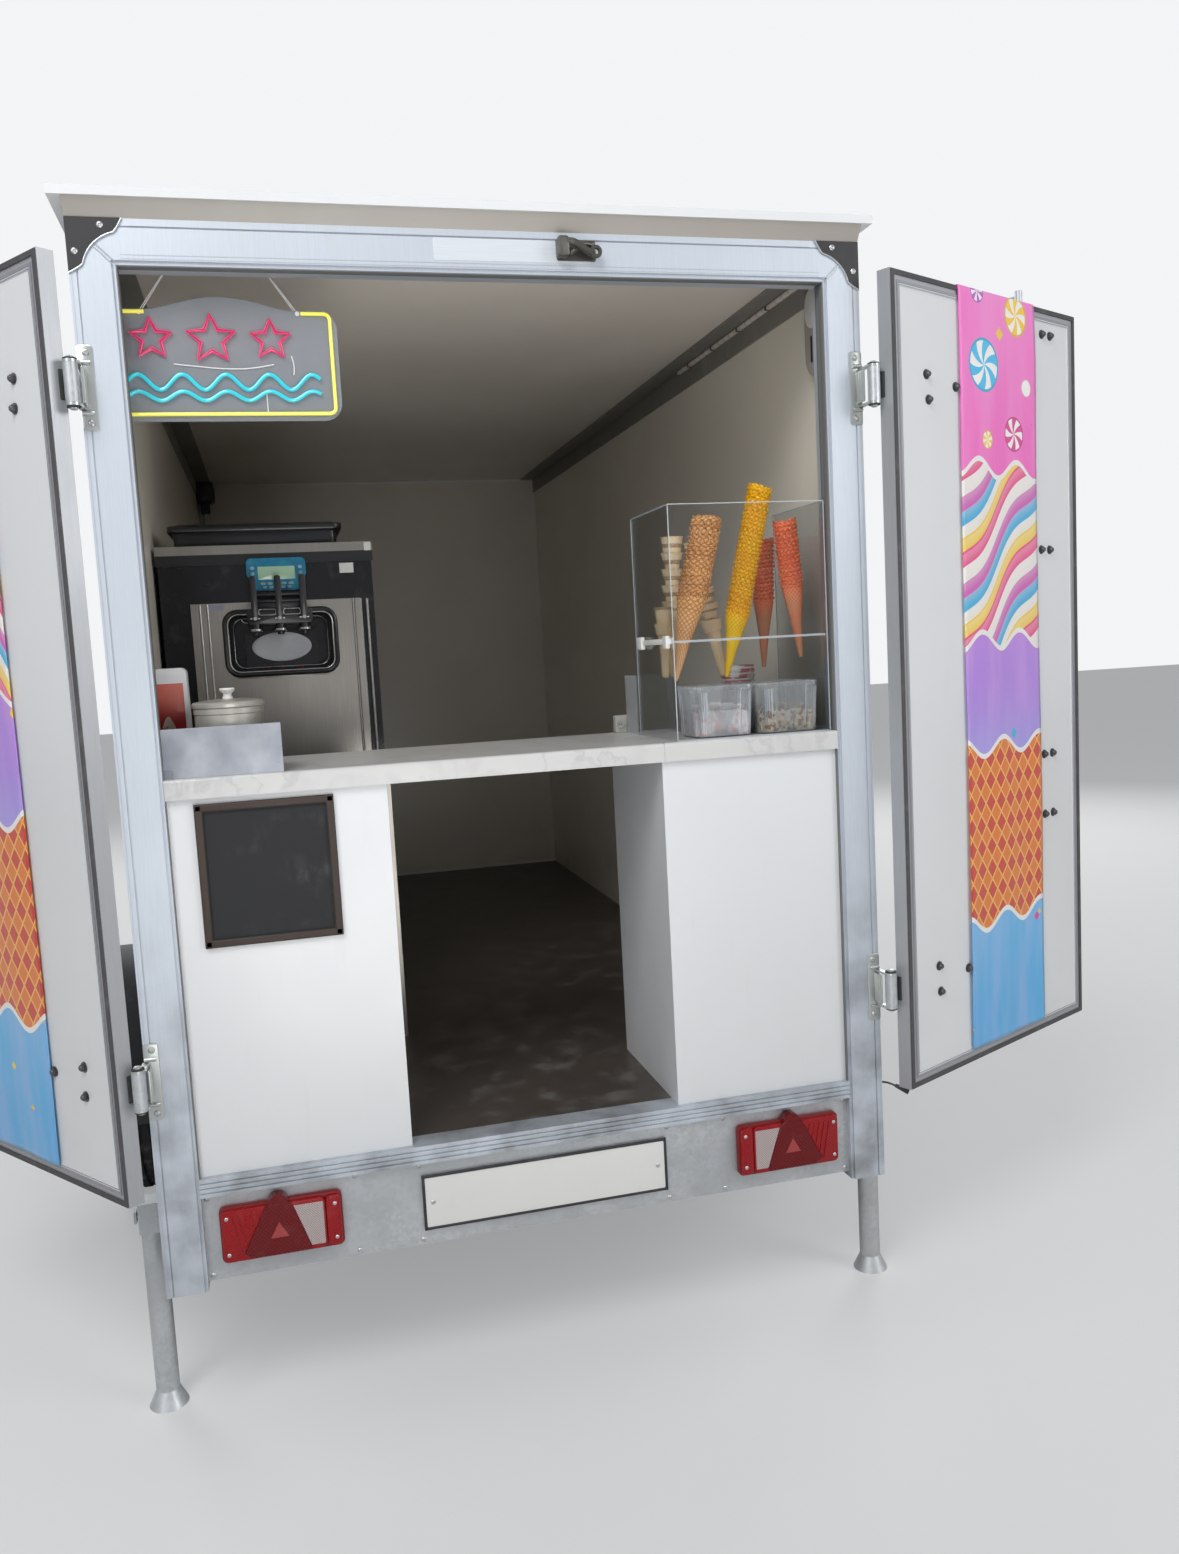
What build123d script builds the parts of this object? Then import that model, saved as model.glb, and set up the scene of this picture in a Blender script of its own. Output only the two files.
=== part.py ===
from build123d import *
import os
from math import atan2, cos, degrees, hypot, tan

# Single-axle box trailer with a serving hatch between two rear doors, in millimetres.
# Modelled with the ground at Z 0, the rear frame's outer face at Y 0 and the drawbar along +Y.
# Every node is moved at the end, so that the origin is the centre of the coupling's ball socket.

# Box body
inside_width = 1500
inside_length = 3130
floor_top = 532
ceiling_height = 2334
wall = 30
floor_thickness = 18
roof_thickness = 30
roof_overhang = 24
roof_lining = 17
roof_cap = 17
fascia_set_back = 20
corner_radius = 26
rail_cover = 40
rail_sheet = 3
ceiling_leg = 62
ceiling_sheet = 5

# Rear portal frame
post_width = 80
post_depth = 60
post_bottom = 301
header_height = 80
header_rise = 16
lip_width = 7
lip_depth = 5
trim_groove = 3
trim_groove_inset = 13
mitre_groove = 1
sill_height = 38
sill_groove = 3
sill_groove_drops = (9, 19, 29)
cap_leg = 100
cap_width = 23
cap_plate = 3

# Rear doors
door_thickness = 30
door_gap = 12
door_lap_top = 13
door_lap_bottom = 17
door_side_inset = 15
door_edge = 22
door_skin = 1
door_web = 4
door_lip = 10
door_lip_rise = 1.5
door_meeting_gap = 6
seal_rise = 3
seal_inset = 2
seal_width = 10
right_door_open = 206.1
left_door_open = 233

# Door hinges, with their heights above the door's lower edge and below its upper edge
pin_offset = 7
pin_radius = 5
pin_clearance = 0.3
knuckle_radius = 13
knuckle_length = 70
hinge_low = 228
hinge_high = 233
hinge_length = 152
hinge_plate = 3
hinge_plate_width = 28
hinge_ear = 5
hinge_ear_width = 12
strap_plate = 4
strap_reach = 287
strap_flare = 18
strap_neck = 60

# Lock rod of the right door
rod_inset = 162
rod_radius = 9
rod_stand_off = 22
rod_reach_top = 52
rod_reach_bottom = 45
rod_guides_up = (545, 695)
rod_guides_down = (572, 61)
guide_width = 52
guide_depth = 12
guide_height = 32
cam_width = 14
cam_height = 24
cam_length = 34
handle_length = 300
handle_height = 28
handle_plate = 8
keeper_rise = 24
keeper_height = 44
keeper_width = 90
keeper_plate = 5
keeper_jaw = 12
keeper_jaw_depth = 28

# Banners
banner_inset = 197
banner_width = 320
banner_lift = 30
banner_thickness = 2
banner_gap = 0.3
banner_back_drop = 60

# Cross members and drawbar
cross_height = 60
cross_width = 40
cross_places = (240, 840, 1640, 2300, 2960)
draw_height = 70
draw_width = 50
draw_side_x = 545
draw_tail_y = 80
draw_bend_y = 1900
draw_front_x = 75
draw_front_y = 3960
tie_height = 36
tie_depth = 60
tie_places = (3230, 3560)
clamp_depth = 60
clamp_height = 58
collar_wall = 8

# Overrun unit and coupling
ball_radius = 25
ball_clearance = 0.5
ball_drop = 42
coupling_reach = 380
socket_depth = 12
shaft_rise = 18
shaft_radius = 25
shaft_length = 250
housing_length = 330
housing_radius = 42
flange_thickness = 12
flange_depth = 56
flange_lap = 24
bellows_length = 130
bellows_rise = 14
bellows_taper = 4
head_half = 34
head_rise = 33
neck_radius = 33
neck_length = 120
brake_rise = 330
brake_grip = 11

# Axle and wheels
wheel_y = 1360
tyre_radius = 318
tyre_width = 177
tyre_outer_x = 1045
tyre_shoulder = 26
tyre_crown = 14
rim_radius = 178
bead_inset = 22
stub_radius = 17.5
drum_radius = 115
rim_dish = 26
hub_radius = 50
hub_rise = 20
beam_side = 70
arm_length = 150
arm_width = 36
arm_height = 56
guard_radius = 398
guard_thickness = 5
guard_lip = 32
guard_outer_x = 1058

# Prop legs
leg_x = 812
leg_y = 150
leg_pivot_height = 415
leg_radius = 24
leg_gap = 5
leg_arm = 28
leg_pin = 8
leg_pin_head = 12
leg_clamp = 64
foot_radius = 40
foot_height = 34

# Jockey wheel
jack_x = 168
jack_setback = 80
jack_tube_radius = 30
jack_tube_wall = 3
jack_tube_top = 830
jack_travel = 120
jack_lap = 150
crank_length = 140
crank_height = 20
crank_grip_radius = 13
crank_grip_length = 86
jockey_radius = 100
jockey_width = 62
jockey_hub = 62
jockey_tread = 44
jockey_trail = 50
jockey_axle = 8
fork_top = 232
fork_crown = 14
fork_plate = 6
fork_gap = 8
cheek_depth = 50

# Rear fittings
lamp_inner_x = 429
lamp_width = 240
lamp_bottom = 351
lamp_height = 115
lamp_base = 14
lamp_lens = 9
lamp_lens_inset = 5
lamp_corner = 12
bumper_y = 18
bumper_sheet = 6
bumper_lift = 14
plate_width = 520
plate_height = 110
plate_bottom = 350
plate_thickness = 6
front_lamp_x = 640
front_lamp_bottom = 620
front_lamp_width = 50
front_lamp_height = 80
side_lamp_places = (800, 2500)
side_lamp_length = 64
side_lamp_height = 30
marker_depth = 12

# Serving counter
worktop_height = 1324
worktop_thickness = 40
worktop_front = 2
worktop_depth = 420
worktop_clearance = 1
worktop_edge = 7
right_cabinet_width = 400
cabinet_depth = 400
left_cabinet_width = 420
board = 18
cabinet_set_back = 14
chalk_left_inset = 50
chalk_width = 264
chalk_height = 282
chalk_drop = 12
chalk_frame = 16
chalk_thickness = 8

# Steel guard, pot and tubs on the counter
guard_left_inset = 2
guard_width = 222
guard_height = 96
guard_depth = 150
guard_sheet = 3
guard_set_back = 8
pot_x = -572
pot_y = 92
pot_radius = 66
pot_height = 132
pot_lid = 14
pot_lid_lap = 4
pot_knob_radius = 15
pot_knob_height = 21
tub_wall = 2.5
tub_height = 112
tub_depth = 140
tub_taper = 5
tub_set_back = 20
tub_places = ((457, 140), (642, 78))

# Cone display and its stacks of cones
display_left = 336
display_right = 692
display_front = 18
display_depth = 270
display_height = 496
acrylic = 4
shelf_height = 208
cone_sides = 10
cone_tip = 5
cone_rim_pitch = 36
cone_rim = 3
cone_stacks = ((365, 95, 456, 86, 178, 34, 5), (486, 105, 585, 85, 134, 28, 8),
               (666, 105, 637, 50, 160, 27, 4), (618, 205, 628, 70, 148, 25, 4),
               (515, 200, 456, 84, 132, 26, 5), (365, 165, 368, 80, 120, 23, 1),
               (401, 215, 411, 81, 135, 27, 5))

# Soft-serve machine
machine_left = -738
machine_right = -218
machine_y = 760
machine_depth = 640
machine_base = 1240
machine_top = 1834
table_margin = 8
band_height = 48
band_thickness = 4
fascia_height = 94
front_inset = 70
front_sheet = 3
front_trim = 14
recess_left_inset = 81
recess_width = 263
recess_bottom = 1501
recess_height = 172
recess_radius = 28
recess_rim = 7
recess_depth = 70
badge_width = 180
badge_height = 104
badge_rise = 30
pod_width = 144
pod_height = 80
pod_depth = 26
pod_waist = 104
lever_pitch = 59
lever_width = 20
lever_corner = 6
lever_length = 122
lever_bottom = 1628
lever_stand_off = 52
lever_thickness = 18
head_width = 158
head_block_height = 46
nozzle_radius = 12
nozzle_drop = 24
cross_bar = 9
cross_bar_heights = (1666, 1697)
hopper_left_inset = 26
hopper_right_inset = 66
hopper_height = 58
hopper_rim = 18
hopper_step = 14

# Hanging light sign
sign_x = -527
sign_y = 80
sign_width = 440
sign_drop = 329
sign_side_height = 209
sign_arch = 24
sign_thickness = 5
sign_wire = 1
sign_wire_spread = 108

ball_y = draw_front_y + coupling_reach
jack_y = draw_front_y - jack_setback
sign_bottom = ceiling_height - sign_drop

# Sizes worked out from the driving dimensions
half_in = inside_width / 2
half_out = half_in + wall
clear_half = half_out - post_width
header_top = ceiling_height + header_rise
header_bottom = header_top - header_height
sill_bottom = floor_top - sill_height
inner_front = post_depth + inside_length
body_length = inner_front + wall
floor_bottom = floor_top - floor_thickness
member_bottom = floor_bottom - cross_height
draw_top = member_bottom
shaft_height = draw_top + shaft_rise
ball_height = shaft_height - ball_drop
head_top = shaft_height + head_rise
origin_shift = Pos(0, -ball_y, -ball_height)
draw_bottom = draw_top - draw_height
draw_outer_x = draw_side_x + draw_width / 2
draw_turn = atan2(draw_side_x - draw_front_x, draw_front_y - draw_bend_y)
door_top = header_bottom + door_lap_top
door_bottom = floor_top - door_lap_bottom
door_left = door_meeting_gap / 2
door_right = half_out - door_side_inset
door_inner_y = -door_gap
door_outer_y = -door_gap - door_thickness
pin_x = half_out + pin_offset
pin_y = door_outer_y
hinge_heights = (door_bottom + hinge_low, door_top - hinge_high)
strap_end = pin_x - strap_reach
rod_x = door_left + rod_inset
banner_left = door_left + banner_inset
worktop_under = worktop_height - worktop_thickness
front_edge = clear_half - worktop_clearance
tyre_mid_x = tyre_outer_x - tyre_width / 2
guard_inner_x = half_out + rail_sheet
ram_radius = jack_tube_radius - jack_tube_wall - pin_clearance
jack_tube_bottom = fork_top + jack_travel + fork_crown
shelf_top = worktop_height + shelf_height + acrylic
recess_left = machine_left + recess_left_inset + front_inset
recess_mid_x = recess_left + recess_width / 2


def block(x, y, z):
    centre = ((x[0] + x[1]) / 2, (y[0] + y[1]) / 2, (z[0] + z[1]) / 2)
    return Pos(*centre) * Box(abs(x[1] - x[0]), abs(y[1] - y[0]), abs(z[1] - z[0]))


def rod(start, end, radius):
    run = Vector(*end) - Vector(*start)
    return Solid.make_cylinder(radius, run.length, Plane(origin=start, z_dir=run))


def pipe(start, end, radius, bore):
    return rod(start, end, radius) - rod(start, end, bore)


def outline(points):
    return make_face(Polyline(*points, close=True))


def along_x(points, low, high):
    # points are (y, z)
    return Pos(low, 0, 0) * extrude(Plane.YZ * outline(points), amount=high - low)


def along_y(points, low, high):
    # points are (x, z)
    return Pos(0, high, 0) * extrude(Plane.XZ * outline(points), amount=high - low)


def along_z(points, low, high):
    # points are (x, y)
    return Pos(0, 0, low) * extrude(outline(points), amount=high - low)


def rounded_plate(x, y, z, radius):
    # upright plate across the trailer with rounded corners
    width = x[1] - x[0]
    height = z[1] - z[0]
    face = Plane.XZ * RectangleRounded(width, height, radius)
    return Pos((x[0] + x[1]) / 2, y[1], (z[0] + z[1]) / 2) * extrude(face, amount=y[1] - y[0])


def swung(shape, side):
    # turns a closed right-hand door piece to its parked angle, mirrored for the left door
    if side > 0:
        angle, hinge_x, piece = right_door_open, pin_x, shape
    else:
        angle, hinge_x, piece = -left_door_open, -pin_x, mirror(shape, about=Plane.YZ)
    return Pos(hinge_x, pin_y, 0) * Rot(0, 0, angle) * Pos(-hinge_x, -pin_y, 0) * piece


def both_sides(shape):
    return [shape, mirror(shape, about=Plane.YZ)]


def save(name, *shapes):
    solids = []
    for shape in shapes:
        solids.extend(shape.solids())
    placed = [origin_shift * solid for solid in solids]
    export_step(Compound(children=placed), f"parts/{name}.step")
    print(name, len(placed))


# Box body: floor, walls, roof and edge profiles

def make_body():
    wall_y = (post_depth, inner_front)
    save("floor_panel", block((-half_in, half_in), wall_y, (floor_bottom, floor_top)))
    for name, side in (("wall_left", -1), ("wall_right", 1)):
        save(name, block((side * half_in, side * half_out), wall_y, (floor_bottom, ceiling_height)))
    front = block((-half_in, half_in), (inner_front, body_length), (floor_bottom, ceiling_height))
    save("wall_front", front)

    # rounded upright corner profiles between the side walls and the front wall
    corner = block((half_in, half_out), (inner_front, body_length), (floor_bottom, ceiling_height))
    edge = corner.edges().filter_by(Axis.Z).sort_by(lambda e: e.center().X + e.center().Y)[-1]
    corner = fillet(edge, corner_radius)

    # roof slab, its cap with the overhanging edge, and the slanted fascia over the rear frame
    roof_top = ceiling_height + roof_thickness
    cap_low = roof_top + roof_lining
    cap_half = half_out + roof_overhang
    slab = block((-half_out, half_out), (post_depth, body_length), (ceiling_height, cap_low))
    cap = block((-cap_half, cap_half), (-roof_overhang, body_length + roof_overhang),
                (cap_low, cap_low + roof_cap))
    save("roof", slab + cap)
    fascia = along_x([(post_depth, header_top), (0, header_top), (-fascia_set_back, cap_low),
                      (post_depth, cap_low)], -half_out, half_out)
    save("roof_fascia", fascia)

    # dark angle profiles along both ceiling corners
    leg_x_in = half_in - ceiling_leg
    leg_z = ceiling_height - ceiling_leg
    angle = along_y([(half_in, ceiling_height), (leg_x_in, ceiling_height),
                     (leg_x_in, ceiling_height - ceiling_sheet),
                     (half_in - ceiling_sheet, ceiling_height - ceiling_sheet),
                     (half_in - ceiling_sheet, leg_z), (half_in, leg_z)], *wall_y)
    save("ceiling_profiles", *both_sides(angle))

    # outer rails along the foot of the side walls
    rail_top = floor_bottom + rail_cover
    rail = along_y([(half_out, rail_top), (half_out + rail_sheet, rail_top),
                    (half_out + rail_sheet, member_bottom), (half_in, member_bottom),
                    (half_in, member_bottom + rail_sheet), (half_out, member_bottom + rail_sheet)],
                   post_depth, body_length - corner_radius)
    save("edge_profiles", *both_sides(corner), *both_sides(rail))


# Rear portal frame: profiled posts and header with mitred corners, and a grooved sill

def portal(trim, widen, near, far):
    # frame across the doorway, trimmed on its outside or widened at its opening
    side = half_out - trim
    top = header_top - trim
    inner = clear_half + widen
    under = header_bottom + widen
    return along_y([(-side, post_bottom), (-side, top), (side, top), (side, post_bottom),
                    (inner, post_bottom), (inner, under), (-inner, under), (-inner, post_bottom)], near, far)


def make_rear_frame():
    frame = portal(0, 0, lip_depth, post_depth) + portal(0, lip_width, 0, lip_depth)
    inset = trim_groove_inset
    core = portal(inset + trim_groove, -trim_groove, -2, trim_groove + 1)
    frame -= portal(inset, 0, -1, trim_groove) - core
    mitre = Box(hypot(post_width, header_height), 2 * mitre_groove, mitre_groove)
    mitre = Rot(0, -degrees(atan2(header_height, post_width)), 0) * mitre
    mitre = Pos(half_out - post_width / 2, 0, header_top - header_height / 2) * mitre
    for line in both_sides(mitre):
        frame -= line
    sill = block((-clear_half, clear_half), (0, post_depth), (sill_bottom, floor_top))
    for drop in sill_groove_drops:
        middle = floor_top - drop
        sill -= block((-clear_half, clear_half), (-1, sill_groove),
                      (middle - sill_groove / 2, middle + sill_groove / 2))
    save("rear_frame", frame + sill)

    # black corner caps with a quarter-round hollow between their legs
    inner = half_out - cap_leg
    low = header_top - cap_leg
    cap = block((inner, half_out), (-cap_plate, 0), (low, header_top))
    cap -= rod((inner, -cap_plate - 1, low), (inner, 1, low), cap_leg - cap_width)
    save("corner_caps", *both_sides(cap))

    # fixed hinge halves: a base plate on the post, two ears and the pin
    fixed = []
    for height in hinge_heights:
        bracket = block((half_out - hinge_plate_width, half_out), (-hinge_plate, 0),
                        (height - hinge_length / 2, height + hinge_length / 2))
        ear_start = knuckle_length / 2 + pin_clearance
        ear_x = pin_x - knuckle_radius
        for end in (-1, 1):
            ear = (height + end * ear_start, height + end * (ear_start + hinge_ear))
            bracket += block((ear_x - hinge_plate, ear_x - hinge_plate + hinge_ear_width), (pin_y, 0), ear)
            bracket += rod((pin_x, pin_y, ear[0]), (pin_x, pin_y, ear[1]), knuckle_radius)
        bracket += rod((pin_x, pin_y, height - ear_start), (pin_x, pin_y, height + ear_start), pin_radius)
        fixed.extend(both_sides(bracket))
    save("hinge_brackets", *fixed)

    # keeper for the lock rod, on the header
    keeper = (header_bottom + keeper_rise, header_bottom + keeper_rise + keeper_height)
    half = keeper_width / 2
    jaw_gap = rod_radius + keeper_jaw
    base = block((rod_x - half, rod_x + half), (-keeper_plate, 0), keeper)
    for side in (-1, 1):
        base += block((rod_x + side * jaw_gap, rod_x + side * (jaw_gap + keeper_jaw)),
                      (-keeper_plate - keeper_jaw_depth, -keeper_plate), keeper)
    save("lock_keeper", base)


# Doors, in their closed place, then swung open

def door_ring(inset, width, near, far):
    outer = block((door_left + inset, door_right - inset), (near, far),
                  (door_bottom + inset, door_top - inset))
    edge = inset + width
    inner = block((door_left + edge, door_right - edge), (near - 1, far + 1),
                  (door_bottom + edge, door_top - edge))
    return outer - inner


def make_doors():
    rim_inner = door_inner_y + door_skin
    rim_outer = door_outer_y - door_skin
    core = block((door_left + door_web, door_right - door_web), (door_outer_y, door_inner_y),
                 (door_bottom + door_web, door_top - door_web))
    rim = door_ring(0, door_edge, rim_outer, rim_inner) - core
    core += door_ring(door_edge, door_lip, door_inner_y, door_inner_y + door_lip_rise)
    seal = door_ring(seal_inset, seal_width, rim_inner, rim_inner + seal_rise)

    # strap hinges: a knuckle and a flared plate on the door's outer face
    straps = []
    for height in hinge_heights:
        low = height - knuckle_length / 2
        high = height + knuckle_length / 2
        knuckle = pipe((pin_x, pin_y, low), (pin_x, pin_y, high), knuckle_radius, pin_radius + pin_clearance)
        root = pin_x - (knuckle_radius + pin_radius) / 2
        neck = strap_end + strap_neck
        plate = along_y([(root, low), (door_right, low), (neck, low - strap_flare), (strap_end, low),
                         (strap_end, high), (neck, high + strap_flare), (door_right, high), (root, high)],
                        rim_outer - strap_plate, rim_outer)
        straps.append(knuckle + plate)

    for name, side in (("left", -1), ("right", 1)):
        save(f"door_panel_{name}", swung(core, side))
        save(f"door_rim_{name}", swung(rim, side))
        save(f"door_seal_{name}", swung(seal, side))
        save(f"door_straps_{name}", *[swung(strap, side) for strap in straps])

    # lock rod of the right door, with its guides, cams and handle
    rod_y = rim_outer - rod_stand_off
    rod_top = door_top + rod_reach_top
    rod_bottom = door_bottom + rod_reach_bottom
    lock = rod((rod_x, rod_y, rod_bottom), (rod_x, rod_y, rod_top), rod_radius)
    for cam_z in (rod_top - cam_height, rod_bottom + cam_height):
        lock += block((rod_x - cam_width / 2, rod_x + cam_width / 2), (rod_y - cam_length, rod_y),
                      (cam_z - cam_height / 2, cam_z + cam_height / 2))
    guides = [door_bottom + rise for rise in rod_guides_up] + [door_top - drop for drop in rod_guides_down]
    for guide_z in guides:
        lock += block((rod_x - guide_width / 2, rod_x + guide_width / 2), (rod_y - guide_depth, rim_outer),
                      (guide_z - guide_height / 2, guide_z + guide_height / 2))
    handle_z = (guides[0] + guides[1]) / 2
    handle = (handle_z - handle_height / 2, handle_z + handle_height / 2)
    lock += block((rod_x - rod_radius, rod_x + handle_length),
                  (rod_y - 2 * handle_plate, rod_y - handle_plate), handle)
    lock += block((rod_x - rod_radius, rod_x + rod_radius), (rod_y - handle_plate, rod_y), handle)
    save("lock_rod", swung(lock, 1))

    # fabric strips hung over the doors' top edges
    inner_y = rim_inner + seal_rise + banner_gap
    outer_y = rim_outer - banner_gap
    top = door_top + banner_gap
    bottom = door_bottom + banner_lift
    sheet = banner_thickness
    strip = along_x([(inner_y, bottom), (inner_y + sheet, bottom), (inner_y + sheet, top + sheet),
                     (outer_y - sheet, top + sheet), (outer_y - sheet, top - banner_back_drop),
                     (outer_y, top - banner_back_drop), (outer_y, top), (inner_y, top)],
                    banner_left, banner_left + banner_width)
    save("banner_left", swung(strip, -1))
    save("banner_right", swung(strip, 1))


# Cross members, drawbar with its prop-leg arms, overrun unit, coupling and axle

def draw_arm_x(y):
    # centre line of a drawbar arm
    return draw_side_x - max(0, y - draw_bend_y) * tan(draw_turn)


def make_drawbar():
    bars = [block((-half_in, half_in), (place - cross_width / 2, place + cross_width / 2),
                  (member_bottom, floor_bottom)) for place in cross_places]
    save("cross_members", *bars)

    half = draw_width / 2
    shift = half * tan(draw_turn / 2)
    reach = half / cos(draw_turn)
    arm = along_z([(draw_side_x + half, draw_tail_y), (draw_side_x + half, draw_bend_y + shift),
                   (draw_front_x + reach, draw_front_y), (draw_front_x - reach, draw_front_y),
                   (draw_side_x - half, draw_bend_y - shift), (draw_side_x - half, draw_tail_y)],
                  draw_bottom, draw_top)
    frame, mirrored = both_sides(arm)
    frame += mirrored
    tie_low = (draw_top + draw_bottom - tie_height) / 2
    for place in tie_places:
        tie_half = draw_arm_x(place)
        frame += block((-tie_half, tie_half), (place - tie_depth / 2, place + tie_depth / 2),
                       (tie_low, tie_low + tie_height))

    # arms and pins of the prop legs
    arm_z = (leg_pivot_height - leg_arm / 2, leg_pivot_height + leg_arm / 2)
    arm_end = leg_x - leg_radius - leg_gap
    pin_end = leg_x + leg_radius + leg_gap
    for side in (-1, 1):
        frame += block((side * draw_outer_x, side * arm_end), (leg_y - leg_arm, leg_y + leg_arm), arm_z)
        frame += rod((side * (arm_end - leg_pin), leg_y, leg_pivot_height),
                     (side * pin_end, leg_y, leg_pivot_height), leg_pin)
        frame += block((side * pin_end, side * (pin_end + leg_gap)),
                       (leg_y - leg_pin_head, leg_y + leg_pin_head),
                       (leg_pivot_height - leg_pin_head, leg_pivot_height + leg_pin_head))

    # clamp and collar that hold the jockey wheel's tube
    clamp_z = ((draw_top + draw_bottom - clamp_height) / 2, (draw_top + draw_bottom + clamp_height) / 2)
    clamp = block((draw_arm_x(jack_y), jack_x), (jack_y - clamp_depth / 2, jack_y + clamp_depth / 2),
                  clamp_z)
    clamp += rod((jack_x, jack_y, clamp_z[0]), (jack_x, jack_y, clamp_z[1]), jack_tube_radius + collar_wall)
    clamp -= rod((jack_x, jack_y, clamp_z[0] - 1), (jack_x, jack_y, clamp_z[1] + 1), jack_tube_radius)
    save("drawbar", frame + clamp)


def make_coupling():
    housing_rear = draw_front_y - housing_length
    bellows_end = draw_front_y + bellows_length
    shaft_end = draw_front_y + shaft_length
    unit = rod((0, housing_rear, shaft_height), (0, draw_front_y, shaft_height), housing_radius)
    unit += rod((0, draw_front_y, shaft_height), (0, shaft_end, shaft_height), shaft_radius)
    for place in (housing_rear + flange_depth, draw_front_y - flange_depth):
        near = draw_arm_x(place) + flange_lap
        unit += block((-near, near), (place - flange_depth / 2, place + flange_depth / 2),
                      (draw_top, draw_top + flange_thickness))

    # handbrake lever on the left of the housing
    brake_y = (housing_rear + draw_front_y) / 2
    brake_x = -housing_radius
    unit += block((brake_x - brake_grip, brake_x + brake_grip),
                  (brake_y - flange_depth, brake_y + flange_depth),
                  (draw_top + flange_thickness, shaft_height + housing_radius))
    unit += rod((brake_x, brake_y, shaft_height),
                (brake_x, brake_y - brake_rise / 2, shaft_height + brake_rise), brake_grip)
    save("overrun_unit", unit)

    # tapered bellows round the shaft
    crest = shaft_radius + bellows_rise
    bore = shaft_radius + pin_clearance
    section = [(bore, draw_front_y), (crest, draw_front_y), (crest - bellows_taper, bellows_end),
               (bore, bellows_end)]
    save("overrun_bellows", Pos(0, 0, shaft_height) * revolve(outline(section), Axis.Y))

    # coupling head: round neck on the shaft, cast nose over the ball, and its grip
    socket = ball_radius + ball_clearance
    nose_rear = bellows_end + neck_length
    head = rod((0, bellows_end, shaft_height), (0, nose_rear, shaft_height), neck_radius)
    nose_low = ball_height - socket_depth
    head += along_x([(nose_rear - neck_radius, shaft_height), (nose_rear - neck_radius, head_top),
                     (ball_y + head_half / 2, head_top), (ball_y + head_half, head_top - head_half / 2),
                     (ball_y + head_half, nose_low), (ball_y - head_half, nose_low)], -head_half, head_half)
    head -= rod((0, bellows_end - 1, shaft_height), (0, shaft_end, shaft_height), shaft_radius)
    hollow = Plane.XZ * outline([(0, nose_low), (socket, nose_low), (socket, ball_height),
                                 (socket / 2, ball_height + socket), (0, ball_height + socket)])
    head -= Pos(0, ball_y, 0) * revolve(hollow, Axis.Z)
    grip_top = head_top + 2 * head_half
    head += along_x([(ball_y - head_half, head_top), (ball_y, head_top), (ball_y + head_half / 2, grip_top),
                     (ball_y - 4 * head_half, grip_top), (ball_y - 4 * head_half, grip_top - head_half / 2),
                     (ball_y - head_half / 2, grip_top - head_half / 2)], -head_half / 2, head_half / 2)
    save("coupling_head", head)


def make_axle():
    # rubber torsion axle: a square beam, trailing arms and stub axles
    beam_y = wheel_y + arm_length
    beam_z = draw_bottom - beam_side / 2
    half = beam_side / 2
    axle = block((-half_in, half_in), (beam_y - half, beam_y + half), (beam_z - half, beam_z + half))
    rise = arm_height / 2
    for side in (-1, 1):
        arm_inner = min(side * half_in, side * (half_in + arm_width))
        axle += along_x([(beam_y + rise, beam_z - rise), (beam_y + rise, beam_z + rise),
                         (wheel_y - rise, tyre_radius + rise), (wheel_y - rise, tyre_radius - rise)],
                        arm_inner, arm_inner + arm_width)
        axle += rod((side * (half_in + arm_width / 2), wheel_y, tyre_radius),
                    (side * tyre_mid_x, wheel_y, tyre_radius), stub_radius)
    save("axle", axle)


# Wheels: tyre and rim, either side, under round mudguards

def make_wheels():
    half = tyre_width / 2
    bead = half - bead_inset
    crown = tyre_radius - tyre_crown
    section = [(rim_radius, -bead), (crown, -half), (tyre_radius, tyre_shoulder - half),
               (tyre_radius, half - tyre_shoulder), (crown, half), (rim_radius, bead)]
    ring = revolve(outline(section), Axis.Y)

    bore = stub_radius + pin_clearance
    barrel = rim_radius - pin_clearance
    inner = rim_radius - bead_inset / 2
    rim_section = [(barrel, -bead), (barrel, bead), (inner, bead), (drum_radius, rim_dish),
                   (hub_radius, rim_dish + hub_rise), (bore, rim_dish + hub_rise), (bore, -half),
                   (drum_radius, -half), (inner, -bead)]
    disc = revolve(outline(rim_section), Axis.Y)
    for name, side in (("left", -1), ("right", 1)):
        place = Pos(side * tyre_mid_x, wheel_y, tyre_radius) * Rot(0, 0, -90 * side)
        save(f"tyre_{name}", place * ring)
        save(f"rim_{name}", place * disc)

    half = (guard_outer_x - guard_inner_x) / 2
    outer = guard_radius + guard_thickness
    lip = outer - guard_lip
    arch = [(outer, -half), (outer, half), (lip, half), (lip, half - guard_thickness),
            (guard_radius, half - guard_thickness), (guard_radius, -half)]
    arc = revolve(Plane.XZ * outline(arch), Axis.Z, revolution_arc=180)
    for name, side in (("left", -1), ("right", 1)):
        middle = (guard_outer_x + guard_inner_x) / 2
        guard = Pos(middle, wheel_y, tyre_radius) * Rot(0, 0, 90) * Rot(90, 0, 0) * arc
        save(f"mudguard_{name}", guard if side > 0 else mirror(guard, about=Plane.YZ))


# Prop legs at the rear and the jockey wheel at the front

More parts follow.
